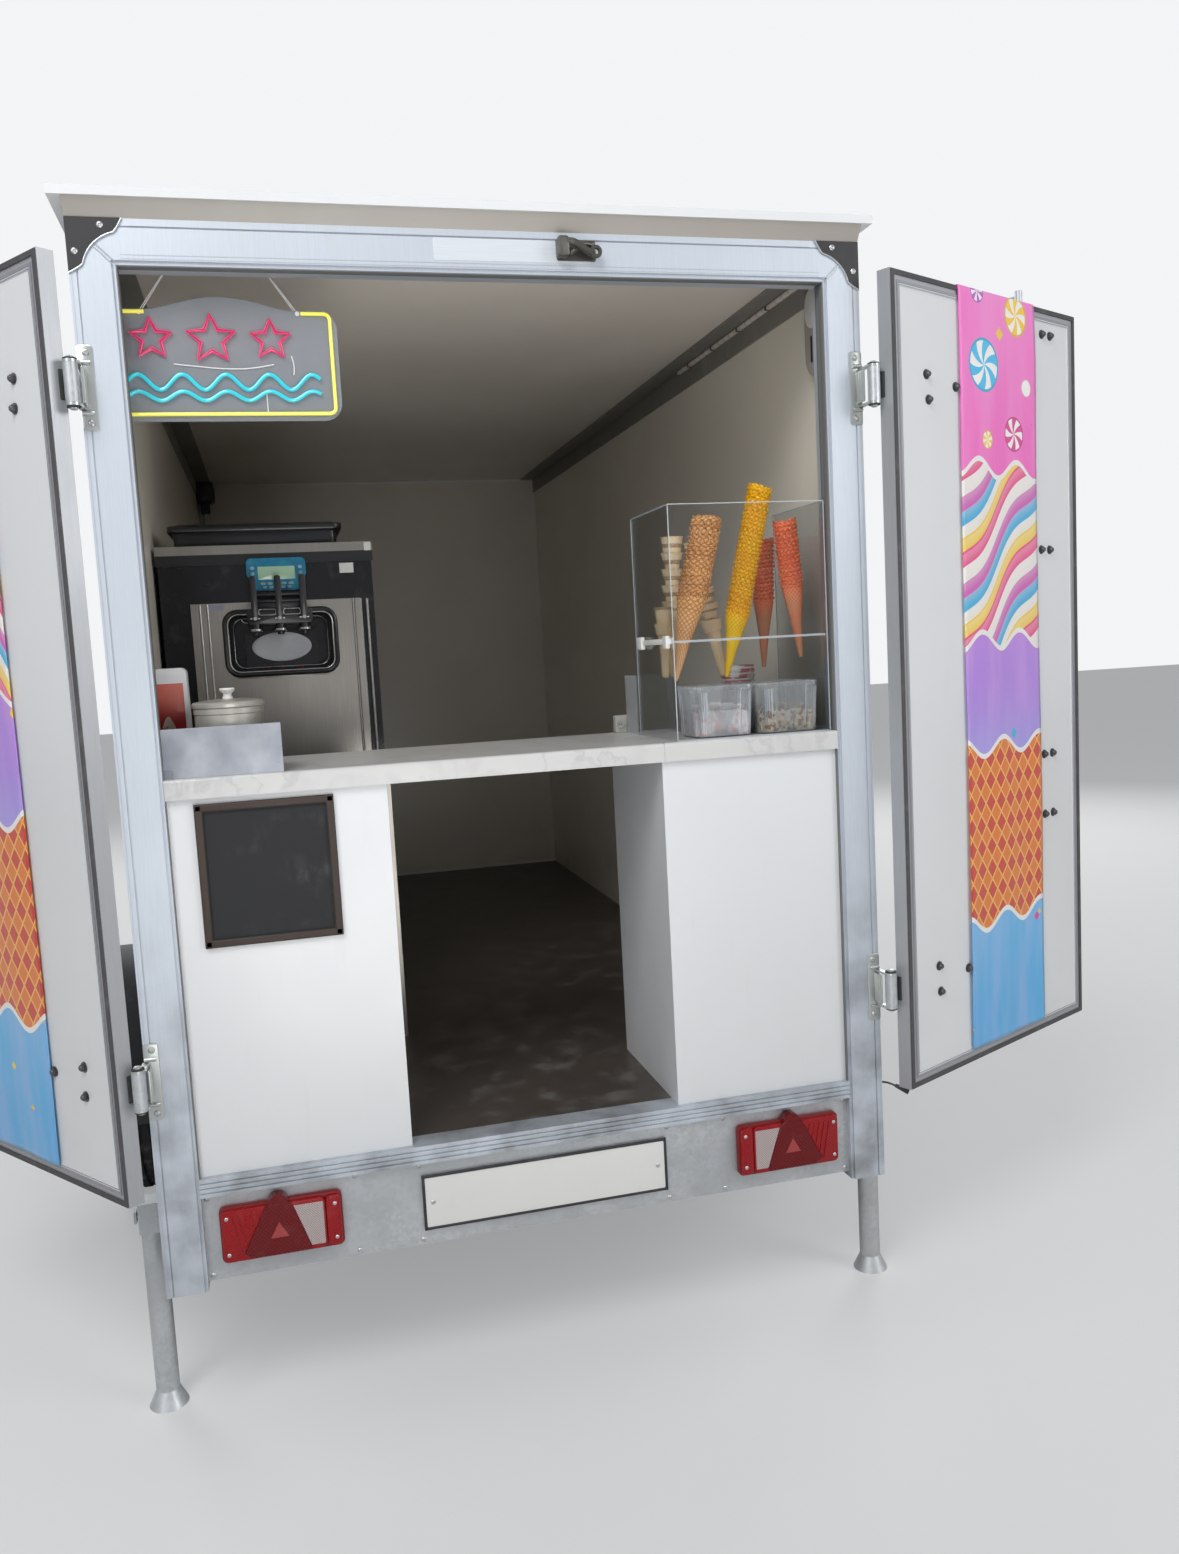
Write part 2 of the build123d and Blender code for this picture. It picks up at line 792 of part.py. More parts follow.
def make_supports():
    for name, side in (("left", -1), ("right", 1)):
        x = side * leg_x
        tube = rod((x, leg_y, foot_height / 2), (x, leg_y, leg_pivot_height), leg_radius)
        tube += block((x - leg_radius, x + leg_radius), (leg_y - leg_radius, leg_y + leg_radius),
                      (leg_pivot_height - leg_clamp / 2, leg_pivot_height + leg_clamp / 2))
        foot = Solid.make_cone(foot_radius, leg_radius, foot_height, Plane((x, leg_y, 0)))
        bore = rod((x - foot_radius, leg_y, leg_pivot_height), (x + foot_radius, leg_y, leg_pivot_height),
                   leg_pin + pin_clearance)
        save(f"prop_leg_{name}", tube + foot - bore)

    crank_low = jack_tube_top + crank_height
    crank_top = crank_low + handle_plate
    sleeve = pipe((jack_x, jack_y, jack_tube_bottom), (jack_x, jack_y, jack_tube_top), jack_tube_radius,
                  jack_tube_radius - jack_tube_wall)
    sleeve += rod((jack_x, jack_y, jack_tube_top), (jack_x, jack_y, jack_tube_top + handle_plate),
                  jack_tube_radius)
    sleeve += rod((jack_x, jack_y, jack_tube_top), (jack_x, jack_y, crank_low), handle_plate)
    sleeve += block((jack_x - handle_plate, jack_x + handle_plate),
                    (jack_y - handle_plate, jack_y + crank_length + handle_plate), (crank_low, crank_top))
    sleeve += rod((jack_x, jack_y + crank_length, crank_low),
                  (jack_x, jack_y + crank_length, crank_low + crank_grip_length), crank_grip_radius)
    save("jack_sleeve", sleeve)
    ram_top = jack_tube_bottom + jack_lap
    save("jack_ram", rod((jack_x, jack_y, fork_top), (jack_x, jack_y, ram_top), ram_radius))

    axle_y = jack_y - jockey_trail
    half = jockey_width / 2
    cheek = half + fork_gap
    reach = cheek + fork_plate
    crown_low = fork_top - pin_clearance - fork_crown
    near = axle_y - cheek_depth / 2
    far = axle_y + cheek_depth / 2
    fork = along_z([(jack_x - reach, near), (jack_x + reach, near), (jack_x + reach, far),
                    (jack_x + half, jack_y + half), (jack_x - half, jack_y + half), (jack_x - reach, far)],
                   crown_low, fork_top - pin_clearance)
    eye = 2 * jockey_axle
    for side in (-1, 1):
        cheek_x = jack_x + min(side * cheek, side * reach)
        fork += along_x([(near, crown_low), (far, crown_low), (axle_y + eye, jockey_radius - eye),
                         (axle_y - eye, jockey_radius - eye)], cheek_x, cheek_x + fork_plate)
    spindle_end = reach + fork_gap
    fork += rod((jack_x - spindle_end, axle_y, jockey_radius), (jack_x + spindle_end, axle_y, jockey_radius),
                jockey_axle)
    save("jack_fork", fork)
    bore = jockey_axle + pin_clearance
    tread = jockey_tread / 2
    section = [(bore, -half), (jockey_hub, -half), (jockey_radius, -tread), (jockey_radius, tread),
               (jockey_hub, half), (bore, half)]
    wheel = Pos(jack_x, axle_y, jockey_radius) * Rot(0, 0, -90) * revolve(outline(section), Axis.Y)
    save("jockey_wheel", wheel)


# Rear bumper panel, lamps and number plate

def make_rear_fittings():
    panel_y = (bumper_y, bumper_y + bumper_sheet)
    panel = block((-clear_half, clear_half), panel_y, (post_bottom + bumper_lift, sill_bottom))
    save("bumper_panel", panel)

    lamp_x = (lamp_inner_x, lamp_inner_x + lamp_width)
    lamp_z = (lamp_bottom, lamp_bottom + lamp_height)
    lamp = block(lamp_x, (bumper_y - lamp_base, bumper_y), lamp_z)
    inset = lamp_lens_inset
    lamp += rounded_plate((lamp_x[0] + inset, lamp_x[1] - inset),
                          (bumper_y - lamp_base - lamp_lens, bumper_y),
                          (lamp_z[0] + inset, lamp_z[1] - inset), lamp_corner)
    save("tail_lamps", *both_sides(lamp))

    plate_half = plate_width / 2
    save("number_plate", rounded_plate((-plate_half, plate_half), (bumper_y - plate_thickness, bumper_y),
                                       (plate_bottom, plate_bottom + plate_height), plate_thickness))

    lamps = both_sides(block((front_lamp_x, front_lamp_x + front_lamp_width),
                             (body_length, body_length + 2 * marker_depth),
                             (front_lamp_bottom, front_lamp_bottom + front_lamp_height)))
    side_low = floor_bottom + rail_cover + side_lamp_height
    for y in side_lamp_places:
        lamps += both_sides(block((half_out, half_out + marker_depth),
                                  (y - side_lamp_length / 2, y + side_lamp_length / 2),
                                  (side_low, side_low + side_lamp_height)))
    save("marker_lamps", *lamps)


# Counter, cabinets and what stands on them

def make_counter():
    edge = half_in - worktop_clearance
    behind_post = post_depth + worktop_clearance
    back = worktop_front + worktop_depth
    top = along_z([(-front_edge, worktop_front), (front_edge, worktop_front), (front_edge, behind_post),
                   (edge, behind_post), (edge, back), (-edge, back), (-edge, behind_post),
                   (-front_edge, behind_post)], worktop_under, worktop_height)
    nose = top.edges().filter_by(Axis.X).sort_by(lambda e: e.center().Z - e.center().Y)[-1]
    save("worktop", fillet(nose, worktop_edge))

    cabinet_y = (cabinet_set_back, cabinet_set_back + cabinet_depth)
    for name, left, width in (("cabinet_left", -front_edge, left_cabinet_width),
                              ("cabinet_right", front_edge - right_cabinet_width, right_cabinet_width)):
        shell = block((left, left + width), cabinet_y, (floor_top, worktop_under))
        hollow = block((left + board, left + width - board), (cabinet_y[0] + board, cabinet_y[1] + 1),
                       (floor_top + board, worktop_under - board))
        save(name, shell - hollow)

    chalk_x = (-front_edge + chalk_left_inset, -front_edge + chalk_left_inset + chalk_width)
    chalk_z = (worktop_under - chalk_drop - chalk_height, worktop_under - chalk_drop)
    slate = block(chalk_x, (cabinet_set_back - chalk_thickness, cabinet_set_back), chalk_z)
    slate -= block((chalk_x[0] + chalk_frame, chalk_x[1] - chalk_frame),
                   (cabinet_set_back - chalk_thickness - 1, cabinet_set_back - chalk_thickness / 2),
                   (chalk_z[0] + chalk_frame, chalk_z[1] - chalk_frame))
    save("chalkboard", slate)

    # bent steel guard, open behind, and the pot that stands in it
    sheet = guard_sheet
    near = worktop_front + guard_set_back
    guard_x = (-front_edge + guard_left_inset, -front_edge + guard_left_inset + guard_width)
    guard_z = (worktop_height, worktop_height + guard_height)
    guard = block(guard_x, (near, near + guard_depth), guard_z)
    guard -= block((guard_x[0] + sheet, guard_x[1] - sheet), (near + sheet, near + guard_depth + 1),
                   (guard_z[0] - 1, guard_z[1] + 1))
    save("steel_guard", guard)

    lid = worktop_height + pot_height
    pot = rod((pot_x, pot_y, worktop_height), (pot_x, pot_y, lid), pot_radius)
    pot += rod((pot_x, pot_y, lid), (pot_x, pot_y, lid + pot_lid), pot_radius + pot_lid_lap)
    knob_foot = lid + pot_lid
    pot += rod((pot_x, pot_y, knob_foot), (pot_x, pot_y, knob_foot + pot_knob_height), pot_knob_radius)
    save("topping_pot", pot)


def make_display():
    x = (display_left, display_right)
    y = (display_front, display_front + display_depth)
    inner_x = (display_left + acrylic, display_right - acrylic)
    case = block(x, y, (worktop_height, worktop_height + display_height))
    case -= block(inner_x, (display_front + acrylic, y[1] + 1),
                  (worktop_height - 1, worktop_height + display_height + 1))
    case += block(inner_x, (display_front + acrylic, y[1]), (shelf_top - acrylic, shelf_top))

    # stacks of cones that lean in round holes of the shelf, with a rim for each cone after the first
    # columns: tip x, y, top x, drop of the tip under the shelf, length of the lowest cone, radius, rims
    stacks = []
    for tip_x, tip_y, top_x, drop, taper, radius, rims in cone_stacks:
        lean = degrees(atan2(top_x - tip_x, taper + rims * cone_rim_pitch))
        place = Pos(tip_x, tip_y, shelf_top - drop) * Rot(0, lean, 0)
        mouth = radius - cone_rim
        stack = loft([RegularPolygon(cone_tip, cone_sides),
                      Pos(0, 0, taper) * RegularPolygon(mouth, cone_sides)])
        for index in range(rims):
            low = taper + index * cone_rim_pitch
            stack += loft([Pos(0, 0, low) * RegularPolygon(mouth, cone_sides),
                           Pos(0, 0, low + cone_rim_pitch) * RegularPolygon(radius, cone_sides)])
        case -= place * Solid.make_cone(cone_tip + pin_clearance, mouth + pin_clearance, taper)
        stacks.append(place * stack)
    save("cone_display", case)
    save("cones", *stacks)

    # open tubs under the shelf; the table's columns are the middle and the width at the rim
    tubs = []
    for middle, width in tub_places:
        foot = Pos(middle, display_front + tub_set_back + tub_depth / 2, worktop_height)
        base = Rectangle(width - 2 * tub_taper, tub_depth - 2 * tub_taper)
        rim = Rectangle(width, tub_depth)
        hollow = loft([Pos(0, 0, tub_wall) * offset(base, -tub_wall),
                       Pos(0, 0, tub_height) * offset(rim, -tub_wall)])
        tubs.append(foot * (loft([base, Pos(0, 0, tub_height) * rim]) - hollow))
    save("topping_tubs", *tubs)


# Soft-serve machine on its table: housing, steel front, draw head with levers, hopper cover

def make_machine():
    x = (machine_left, machine_right)
    back = machine_y + machine_depth
    save("machine_table", block((machine_left - table_margin, machine_right + table_margin),
                                (machine_y - table_margin, back + table_margin), (floor_top, machine_base)))

    fascia_low = machine_top - band_height - fascia_height
    recess_x = (recess_left, recess_left + recess_width)
    recess_z = (recess_bottom, recess_bottom + recess_height)
    housing = block(x, (machine_y, back), (machine_base, machine_top))
    housing -= rounded_plate(recess_x, (machine_y - 1, machine_y + recess_depth), recess_z, recess_radius)
    badge_low = recess_bottom + 2 * recess_rim
    housing += block((recess_mid_x - badge_width / 2, recess_mid_x + badge_width / 2),
                     (machine_y + recess_depth - badge_rise, machine_y + recess_depth),
                     (badge_low, badge_low + badge_height))
    pod_top = machine_top - band_height + band_height / 4
    pod_waist_z = pod_top - pod_height / 2
    pod_front = machine_y - pod_depth
    pod = along_y([(recess_mid_x - pod_width / 2, pod_waist_z), (recess_mid_x - pod_width / 2, pod_top),
                   (recess_mid_x + pod_width / 2, pod_top), (recess_mid_x + pod_width / 2, pod_waist_z),
                   (recess_mid_x + pod_waist / 2, pod_top - pod_height),
                   (recess_mid_x - pod_waist / 2, pod_top - pod_height)], pod_front, machine_y)
    pod = fillet(pod.edges().filter_by(Axis.Y), pod_depth / 2)
    save("ice_cream_machine", housing + pod)

    # steel front plate with its rounded opening and side trims, and the band round the top edge
    front_x = (machine_left + front_inset, machine_right - front_inset / 2)
    front = block(front_x, (machine_y - front_sheet, machine_y), (machine_base, fascia_low))
    rim = recess_rim
    front += rounded_plate((recess_x[0] - rim, recess_x[1] + rim), (machine_y - 2 * front_sheet, machine_y),
                           (recess_z[0] - rim, recess_z[1] + rim), recess_radius + rim)
    front -= rounded_plate(recess_x, (machine_y - 3 * front_sheet, machine_y + 1), recess_z, recess_radius)
    for low in (front_x[0], front_x[1] - front_trim):
        front += block((low, low + front_trim), (machine_y - 3 * front_sheet, machine_y),
                       (machine_base, fascia_low))
    band = block((machine_left - band_thickness, machine_right + band_thickness),
                 (machine_y - band_thickness, machine_y), (machine_top - band_height, machine_top))
    band -= pod
    save("machine_front", front, band)

    # draw head in the recess's upper half, three nozzles, three levers and the bars that join them
    head_top = recess_z[1] - recess_rim
    head_low = head_top - head_block_height
    lever_y = machine_y - lever_stand_off
    half = head_width / 2
    head = block((recess_mid_x - half, recess_mid_x + half), (lever_y, machine_y + recess_depth),
                 (head_low, head_top))
    lever_top = lever_bottom + lever_length
    for index in (-1, 0, 1):
        lever_x = recess_mid_x + index * lever_pitch
        head += rod((lever_x, lever_y + nozzle_radius, head_low - nozzle_drop),
                    (lever_x, lever_y + nozzle_radius, head_low), nozzle_radius)
        wide = lever_width / 2
        slim = wide - lever_corner
        head += along_y([(lever_x - wide, lever_bottom), (lever_x + wide, lever_bottom),
                         (lever_x + wide, lever_top - lever_corner), (lever_x + slim, lever_top),
                         (lever_x - slim, lever_top), (lever_x - wide, lever_top - lever_corner)],
                        lever_y - lever_thickness, lever_y)
    for bar_z in cross_bar_heights:
        middle = lever_y - lever_thickness / 2
        bar_y = (middle - cross_bar / 2, middle + cross_bar / 2)
        head += block((recess_mid_x - lever_pitch, recess_mid_x + lever_pitch), bar_y,
                      (bar_z - cross_bar / 2, bar_z + cross_bar / 2))
    save("machine_levers", head)

    # lift-off hopper cover: a wider rim over a narrower body
    lid_x = (machine_left + hopper_left_inset, machine_right - hopper_right_inset)
    lid_y = (machine_y + hopper_left_inset, back - hopper_right_inset)
    top = machine_top + hopper_height
    step = hopper_step
    cover = block((lid_x[0] + step, lid_x[1] - step), (lid_y[0] + step, lid_y[1] - step), (machine_top, top))
    cover += block(lid_x, lid_y, (top - hopper_rim, top))
    save("hopper_cover", cover)


# Arched light sign hung on two wires inside the doorway

def make_light_sign():
    left = sign_x - sign_width / 2
    right = sign_x + sign_width / 2
    shoulder = sign_bottom + sign_side_height
    arch = shoulder + sign_arch
    edge = Polyline((left, shoulder), (left, sign_bottom), (right, sign_bottom), (right, shoulder))
    face = make_face(Curve() + [edge, ThreePointArc((right, shoulder), (sign_x, arch), (left, shoulder))])
    sign = Pos(0, sign_y + sign_thickness, 0) * extrude(Plane.XZ * face, amount=sign_thickness)
    for side in (-1, 1):
        wire_x = sign_x + side * sign_wire_spread
        wire_y = sign_y + sign_thickness / 2
        sign += block((wire_x - sign_wire, wire_x + sign_wire), (wire_y - sign_wire, wire_y + sign_wire),
                      (shoulder, ceiling_height))
    save("light_sign", sign)


os.makedirs("parts", exist_ok=True)
make_body()
make_rear_frame()
make_doors()
make_drawbar()
make_coupling()
make_axle()
make_wheels()
make_supports()
make_rear_fittings()
make_counter()
make_display()
make_machine()
make_light_sign()
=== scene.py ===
import bpy
import bmesh
from math import atan2, cos, floor, hypot, pi, radians, sin
from random import Random
from mathutils import Matrix, Vector


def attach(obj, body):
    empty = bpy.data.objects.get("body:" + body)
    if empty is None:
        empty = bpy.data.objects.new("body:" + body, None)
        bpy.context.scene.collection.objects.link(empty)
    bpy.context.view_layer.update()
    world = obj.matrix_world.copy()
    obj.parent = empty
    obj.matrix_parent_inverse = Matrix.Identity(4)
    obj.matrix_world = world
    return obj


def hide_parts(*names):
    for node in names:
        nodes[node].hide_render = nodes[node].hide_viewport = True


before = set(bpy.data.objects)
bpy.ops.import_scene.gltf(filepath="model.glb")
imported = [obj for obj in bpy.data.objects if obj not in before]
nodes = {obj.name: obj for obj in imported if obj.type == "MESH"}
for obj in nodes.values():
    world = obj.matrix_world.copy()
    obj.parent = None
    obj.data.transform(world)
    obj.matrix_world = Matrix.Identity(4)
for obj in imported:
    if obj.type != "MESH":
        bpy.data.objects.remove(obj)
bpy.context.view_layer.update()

# sizes are millimetres from the ground (z), the rear frame's face (y) and the middle (x)
origin = {"y": 4340, "z": 430}
millimetre = 0.001


def at(x, y, z):
    return Vector((x, y - origin["y"], z - origin["z"])) * millimetre


# angles are radians, and the focal length is in pixels of a picture this high
camera = {"x": -473, "y": -2409, "z": 1526, "yaw": 0.247479, "pitch": -0.104364, "roll": -0.0542482,
          "focal": 1205.836, "pictureHeight": 1554, "sensor": 36, "reach": 200}


def makeCamera():
    yaw, pitch, roll = camera["yaw"], camera["pitch"], camera["roll"]
    level = Vector((sin(yaw), cos(yaw), 0))
    side = Vector((cos(yaw), -sin(yaw), 0))
    up = Vector((0, 0, 1))
    ahead = level * cos(pitch) + up * sin(pitch)
    top = up * cos(pitch) - level * sin(pitch)
    right = top * sin(roll) + side * cos(roll)
    above = top * cos(roll) - side * sin(roll)
    data = bpy.data.cameras.new("camera")
    data.sensor_width = camera["sensor"]
    data.lens = camera["focal"] * camera["sensor"] / camera["pictureHeight"]
    data.clip_end = camera["reach"]
    eye = bpy.data.objects.new("camera", data)
    turn = Matrix((right, above, -ahead)).transposed().to_4x4()
    eye.matrix_world = Matrix.Translation(at(camera["x"], camera["y"], camera["z"])) @ turn
    bpy.context.scene.collection.objects.link(eye)
    bpy.context.scene.camera = eye


makeCamera()
bpy.context.scene.view_settings.view_transform = "Standard"
print("camera set")


class Wire:
    # a node's output that can be used in plain expressions
    def __init__(self, paint, socket):
        self.paint = paint
        self.socket = socket

    def maths(self, operation, *others):
        return self.paint.add("ShaderNodeMath", {"operation": operation}, [self, *others])

    def reflected(self, operation, other):
        return self.paint.add("ShaderNodeMath", {"operation": operation}, [other, self])

    def __add__(self, other):
        return self.maths("ADD", other)

    def __mul__(self, other):
        return self.maths("MULTIPLY", other)

    def __sub__(self, other):
        return self.maths("SUBTRACT", other)

    def __truediv__(self, other):
        return self.maths("DIVIDE", other)

    def __rsub__(self, other):
        return self.reflected("SUBTRACT", other)

    def __rtruediv__(self, other):
        return self.reflected("DIVIDE", other)

    __radd__ = __add__
    __rmul__ = __mul__

    def over(self, edge):
        return self.maths("GREATER_THAN", edge)

    def under(self, edge):
        return self.maths("LESS_THAN", edge)

    def between(self, low, high):
        return self.over(low) * self.under(high)

    def part(self):
        return self.maths("FRACT")

    def sine(self):
        return self.maths("SINE")

    def away(self, middle=0.0):
        return (self - middle if middle else self).maths("ABSOLUTE")

    def rise(self, low, high):
        # 0 at low, 1 at high and beyond
        return self.paint.add("ShaderNodeMapRange", {"interpolation_type": "SMOOTHSTEP"},
                              {"Value": self, "From Min": low, "From Max": high})


paints = {}
sockets = {"colour": "Base Color", "rough": "Roughness", "metal": "Metallic", "coat": "Coat Weight",
           "coatRough": "Coat Roughness", "sheen": "Sheen Weight", "glow": "Emission Color",
           "glowPower": "Emission Strength", "normal": "Normal", "specular": "Specular IOR Level",
           "under": "Subsurface Weight"}


class Paint:
    # one material, kept in paints under its name
    def __init__(self, name, **values):
        self.material = bpy.data.materials.new(name)
        self.material.use_nodes = True
        self.tree = self.material.node_tree
        self.shader = self.tree.nodes["Principled BSDF"]
        self.main = Wire(self, self.shader.outputs[0])
        self.where = self.add("ShaderNodeTexCoord", output="Object")
        self.set(**values)
        paints[name] = self

    def add(self, kind, settings=None, values=None, output=0):
        node = self.tree.nodes.new(kind)
        for name, value in (settings or {}).items():
            setattr(node, name, value)
        pairs = values.items() if isinstance(values, dict) else enumerate(values or [])
        for name, value in pairs:
            self.feed(node.inputs[name], value)
        return Wire(self, node.outputs[output])

    def feed(self, socket, value):
        if isinstance(value, Wire):
            self.tree.links.new(value.socket, socket)
        elif hasattr(value, "__len__") and len(value) == 3 and socket.type == "RGBA":
            socket.default_value = (*value, 1)
        else:
            socket.default_value = value

    def set(self, **values):
        for name, value in values.items():
            self.feed(self.shader.inputs[sockets[name]], value)
        return self

    def noise(self, scale, detail=3, stretch=(1, 1, 1), source=None):
        place = self.add("ShaderNodeMapping", {}, {"Vector": source or self.where, "Scale": stretch})
        return self.add("ShaderNodeTexNoise", {}, {"Vector": place, "Scale": scale, "Detail": detail})

    def cells(self, scale, output="Color", source=None, distance="EUCLIDEAN"):
        return self.add("ShaderNodeTexVoronoi", {"distance": distance},
                        {"Vector": source or self.where, "Scale": scale}, output)

    def axes(self, source=None):
        split = self.add("ShaderNodeSeparateXYZ", {}, [source or self.where])
        return [Wire(self, output) for output in split.socket.node.outputs]

    def layer(self, name):
        return self.add("ShaderNodeUVMap", {"uv_map": name})

    def ramp(self, value, stops, steps=False):
        # stops are (place, colour); steps keeps each colour flat up to the next
        wire = self.add("ShaderNodeValToRGB", {}, [value])
        band = wire.socket.node.color_ramp
        band.interpolation = "CONSTANT" if steps else "EASE"
        while len(band.elements) < len(stops):
            band.elements.new(0.5)
        for element, (place, colour) in zip(band.elements, stops):
            element.position = place
            element.color = (*colour, 1)
        return wire

    def mix(self, factor, one, two):
        return self.add("ShaderNodeMix", {"data_type": "RGBA"}, {0: factor, 6: one, 7: two}, output=2)

    def bump(self, height, strength=0.3, depth=0.001):
        return self.set(normal=self.add("ShaderNodeBump", {}, {"Height": height, "Strength": strength,
                                                               "Distance": depth}))

    def show(self, factor, one, two):
        # the surface is one where the factor is 0 and two where it is 1
        shader = self.add("ShaderNodeMixShader", {}, {0: factor, 1: one, 2: two})
        self.tree.links.new(shader.socket, self.tree.nodes["Material Output"].inputs["Surface"])


def shade(colour, factor):
    return tuple(min(1, value * factor) for value in colour)


finishes = {
    "white": (0.78, 0.795, 0.81), "dust": (0.52, 0.50, 0.47), "lining": (0.87, 0.82, 0.72),
    "ceiling": (0.86, 0.80, 0.72), "alu": (0.60, 0.65, 0.715), "galv": (0.52, 0.54, 0.56),
    "black": (0.022, 0.022, 0.024), "rubber": (0.045, 0.046, 0.048), "tyre": (0.028, 0.028, 0.030),
    "ply": (0.070, 0.058, 0.050), "marble": (0.61, 0.61, 0.60), "vein": (0.36, 0.365, 0.37),
    # the last colour on the next line is dark: painted shade with some road dirt, low on the frame
    "cabinet": (0.72, 0.735, 0.75), "slate": (0.012, 0.0125, 0.014), "road": (0.17, 0.175, 0.185),
    "enamel": (0.007, 0.007, 0.009)}
room = {"x": 0.7503, "y": (3190 + 0.3 - origin["y"]) * millimetre, "z": (2334 + 0.3 - origin["z"]) * millimetre}


def dustedAndShaded(paint, colour, low, high, strength=0.5, dust="dust"):
    # dust that thickens towards the height low and fades out at high; with the dark road colour it is painted shade
    # with some road dirt, low on the frame
    height = paint.axes()[2]
    patches = paint.noise(9, 5).rise(0.35, 0.75)
    amount = (1 - height.rise(low, high)) * patches * strength
    return paint.mix(amount, colour, finishes[dust])


def panelPaint(name, base, grime, lining=None):
    # coated panel; lining is the colour of the faces inside the box
    paint = Paint(name, coat=0.25, coatRough=0.2)
    cloud = paint.noise(1.6, 4)
    colour = paint.mix(cloud.rise(0.3, 0.7), base, shade(base, 0.97))
    if lining:
        x, y, z = paint.axes()
        inside = x.away().under(room["x"]) * y.under(room["y"]) * z.under(room["z"])
        soft = paint.mix(cloud.rise(0.35, 0.65), lining, shade(lining, 0.93))
        colour = paint.mix(inside, colour, soft)
    scuffs = paint.noise(38, 6, (1, 1, 0.12)).rise(0.62, 0.78) * 0.12
    colour = paint.mix(scuffs, colour, shade(base, 0.8))
    paint.set(colour=dustedAndShaded(paint, colour, 0.06, 0.75, grime), rough=paint.noise(14, 4) * 0.18 + 0.24)
    paint.bump(paint.noise(180, 2), 0.06, 0.0006)


def metalPaint(name, base, rough, metal, grain=(1, 1, 0.03), spread=0.08, grime=0.25, coat=0, road=0):
    # drawn or brushed metal, with its grain along one axis
    paint = Paint(name, coat=coat)
    lines = paint.noise(420, 4, grain)
    cloud = paint.noise(3.2, 4).rise(0.25, 0.75)
    colour = paint.mix(cloud, base, shade(base, 1 - spread))
    colour = paint.mix(lines.rise(0.35, 0.65) * 0.25, colour, shade(base, 0.82))
    stains = paint.noise(11, 6, (1, 1, 0.35)).rise(0.6, 0.74) * grime
    colour = paint.mix(stains, colour, finishes["dust"])
    # darker towards the ground: painted shade under the floor edge, with some road dirt
    if road:
        colour = dustedAndShaded(paint, colour, 0.0, 0.8, road, "road")
    paint.set(colour=colour, metal=metal, rough=lines * 0.16 + cloud * 0.06 + (rough - 0.1))
    paint.bump(lines, 0.12, 0.0004)


def galvPaint(name, base, grime):
    # zinc spangle with dull patches and dirt
    paint = Paint(name)
    grey = paint.axes(paint.cells(130))[0]
    cloud = paint.noise(7, 5).rise(0.3, 0.7)
    colour = paint.mix(grey * 0.55, base, shade(base, 1.35))
    colour = paint.mix(cloud * 0.5, colour, shade(base, 0.72))
    paint.set(colour=dustedAndShaded(paint, colour, -0.35, 0.25, grime), metal=0.72,
              rough=grey * 0.15 + cloud * 0.12 + 0.36)
    paint.bump(paint.noise(90, 3) + grey * 0.2, 0.12, 0.0006)


def plasticPaint(name, base, rough, grain, strength, worn=0.3, coat=0, metal=0):
    # moulded plastic or paint with a fine grain and rubbed, dusty places
    paint = Paint(name, coat=coat, metal=metal)
    rubbed = paint.noise(16, 6).rise(0.58, 0.74) * worn
    pale = tuple(0.75 * value + 0.25 * dust for value, dust in zip(base, finishes["dust"]))
    colour = paint.mix(rubbed, base, pale)
    colour = paint.mix(paint.noise(2.5, 3) * 0.4, colour, shade(base, 0.8))
    paint.set(colour=colour, rough=paint.noise(22, 4) * 0.16 + (rough - 0.08))
    paint.bump(paint.noise(grain, 2), strength, 0.0004)


def rubberPaint(name, base, dusty):
    paint = Paint(name, specular=0.3)
    marks = paint.noise(26, 6).rise(0.5, 0.8) * dusty
    paint.set(colour=paint.mix(marks, base, shade(finishes["dust"], 0.35)), rough=paint.noise(40, 3) * 0.2 + 0.6)
    paint.bump(paint.noise(500, 3), 0.25, 0.0004)


def glassPaint(name, tint, body, facing, haze=0.02, metal=0):
    # clear sheet: see-through where looked at squarely, shiny at a grazing angle
    paint = Paint(name, colour=tint, rough=0.04, specular=0.8, metal=metal)
    gloss = paint.add("ShaderNodeFresnel", {}, {"IOR": 1.45})
    factor = gloss * facing + paint.noise(24, 5).rise(0.5, 0.8) * haze + body
    clear = paint.add("ShaderNodeBsdfTransparent", {}, [(0.97, 0.98, 0.985, 1)])
    paint.show(factor, clear, paint.main)


def lensPaint(name, colour, scale, coat=0.8):
    # moulded lens with small prisms
    paint = Paint(name, coat=coat, coatRough=0.05, rough=0.3, specular=0.3)
    x, unused, z = paint.axes()
    prisms = ((x * scale).sine() * (z * scale).sine()).rise(-0.4, 0.9)
    tint = paint.mix(prisms, shade(colour, 0.55), colour)
    paint.set(colour=paint.mix(paint.noise(30, 4).rise(0.55, 0.8) * 0.03, tint, finishes["dust"]))
    paint.bump(prisms, 0.35, 0.0012)


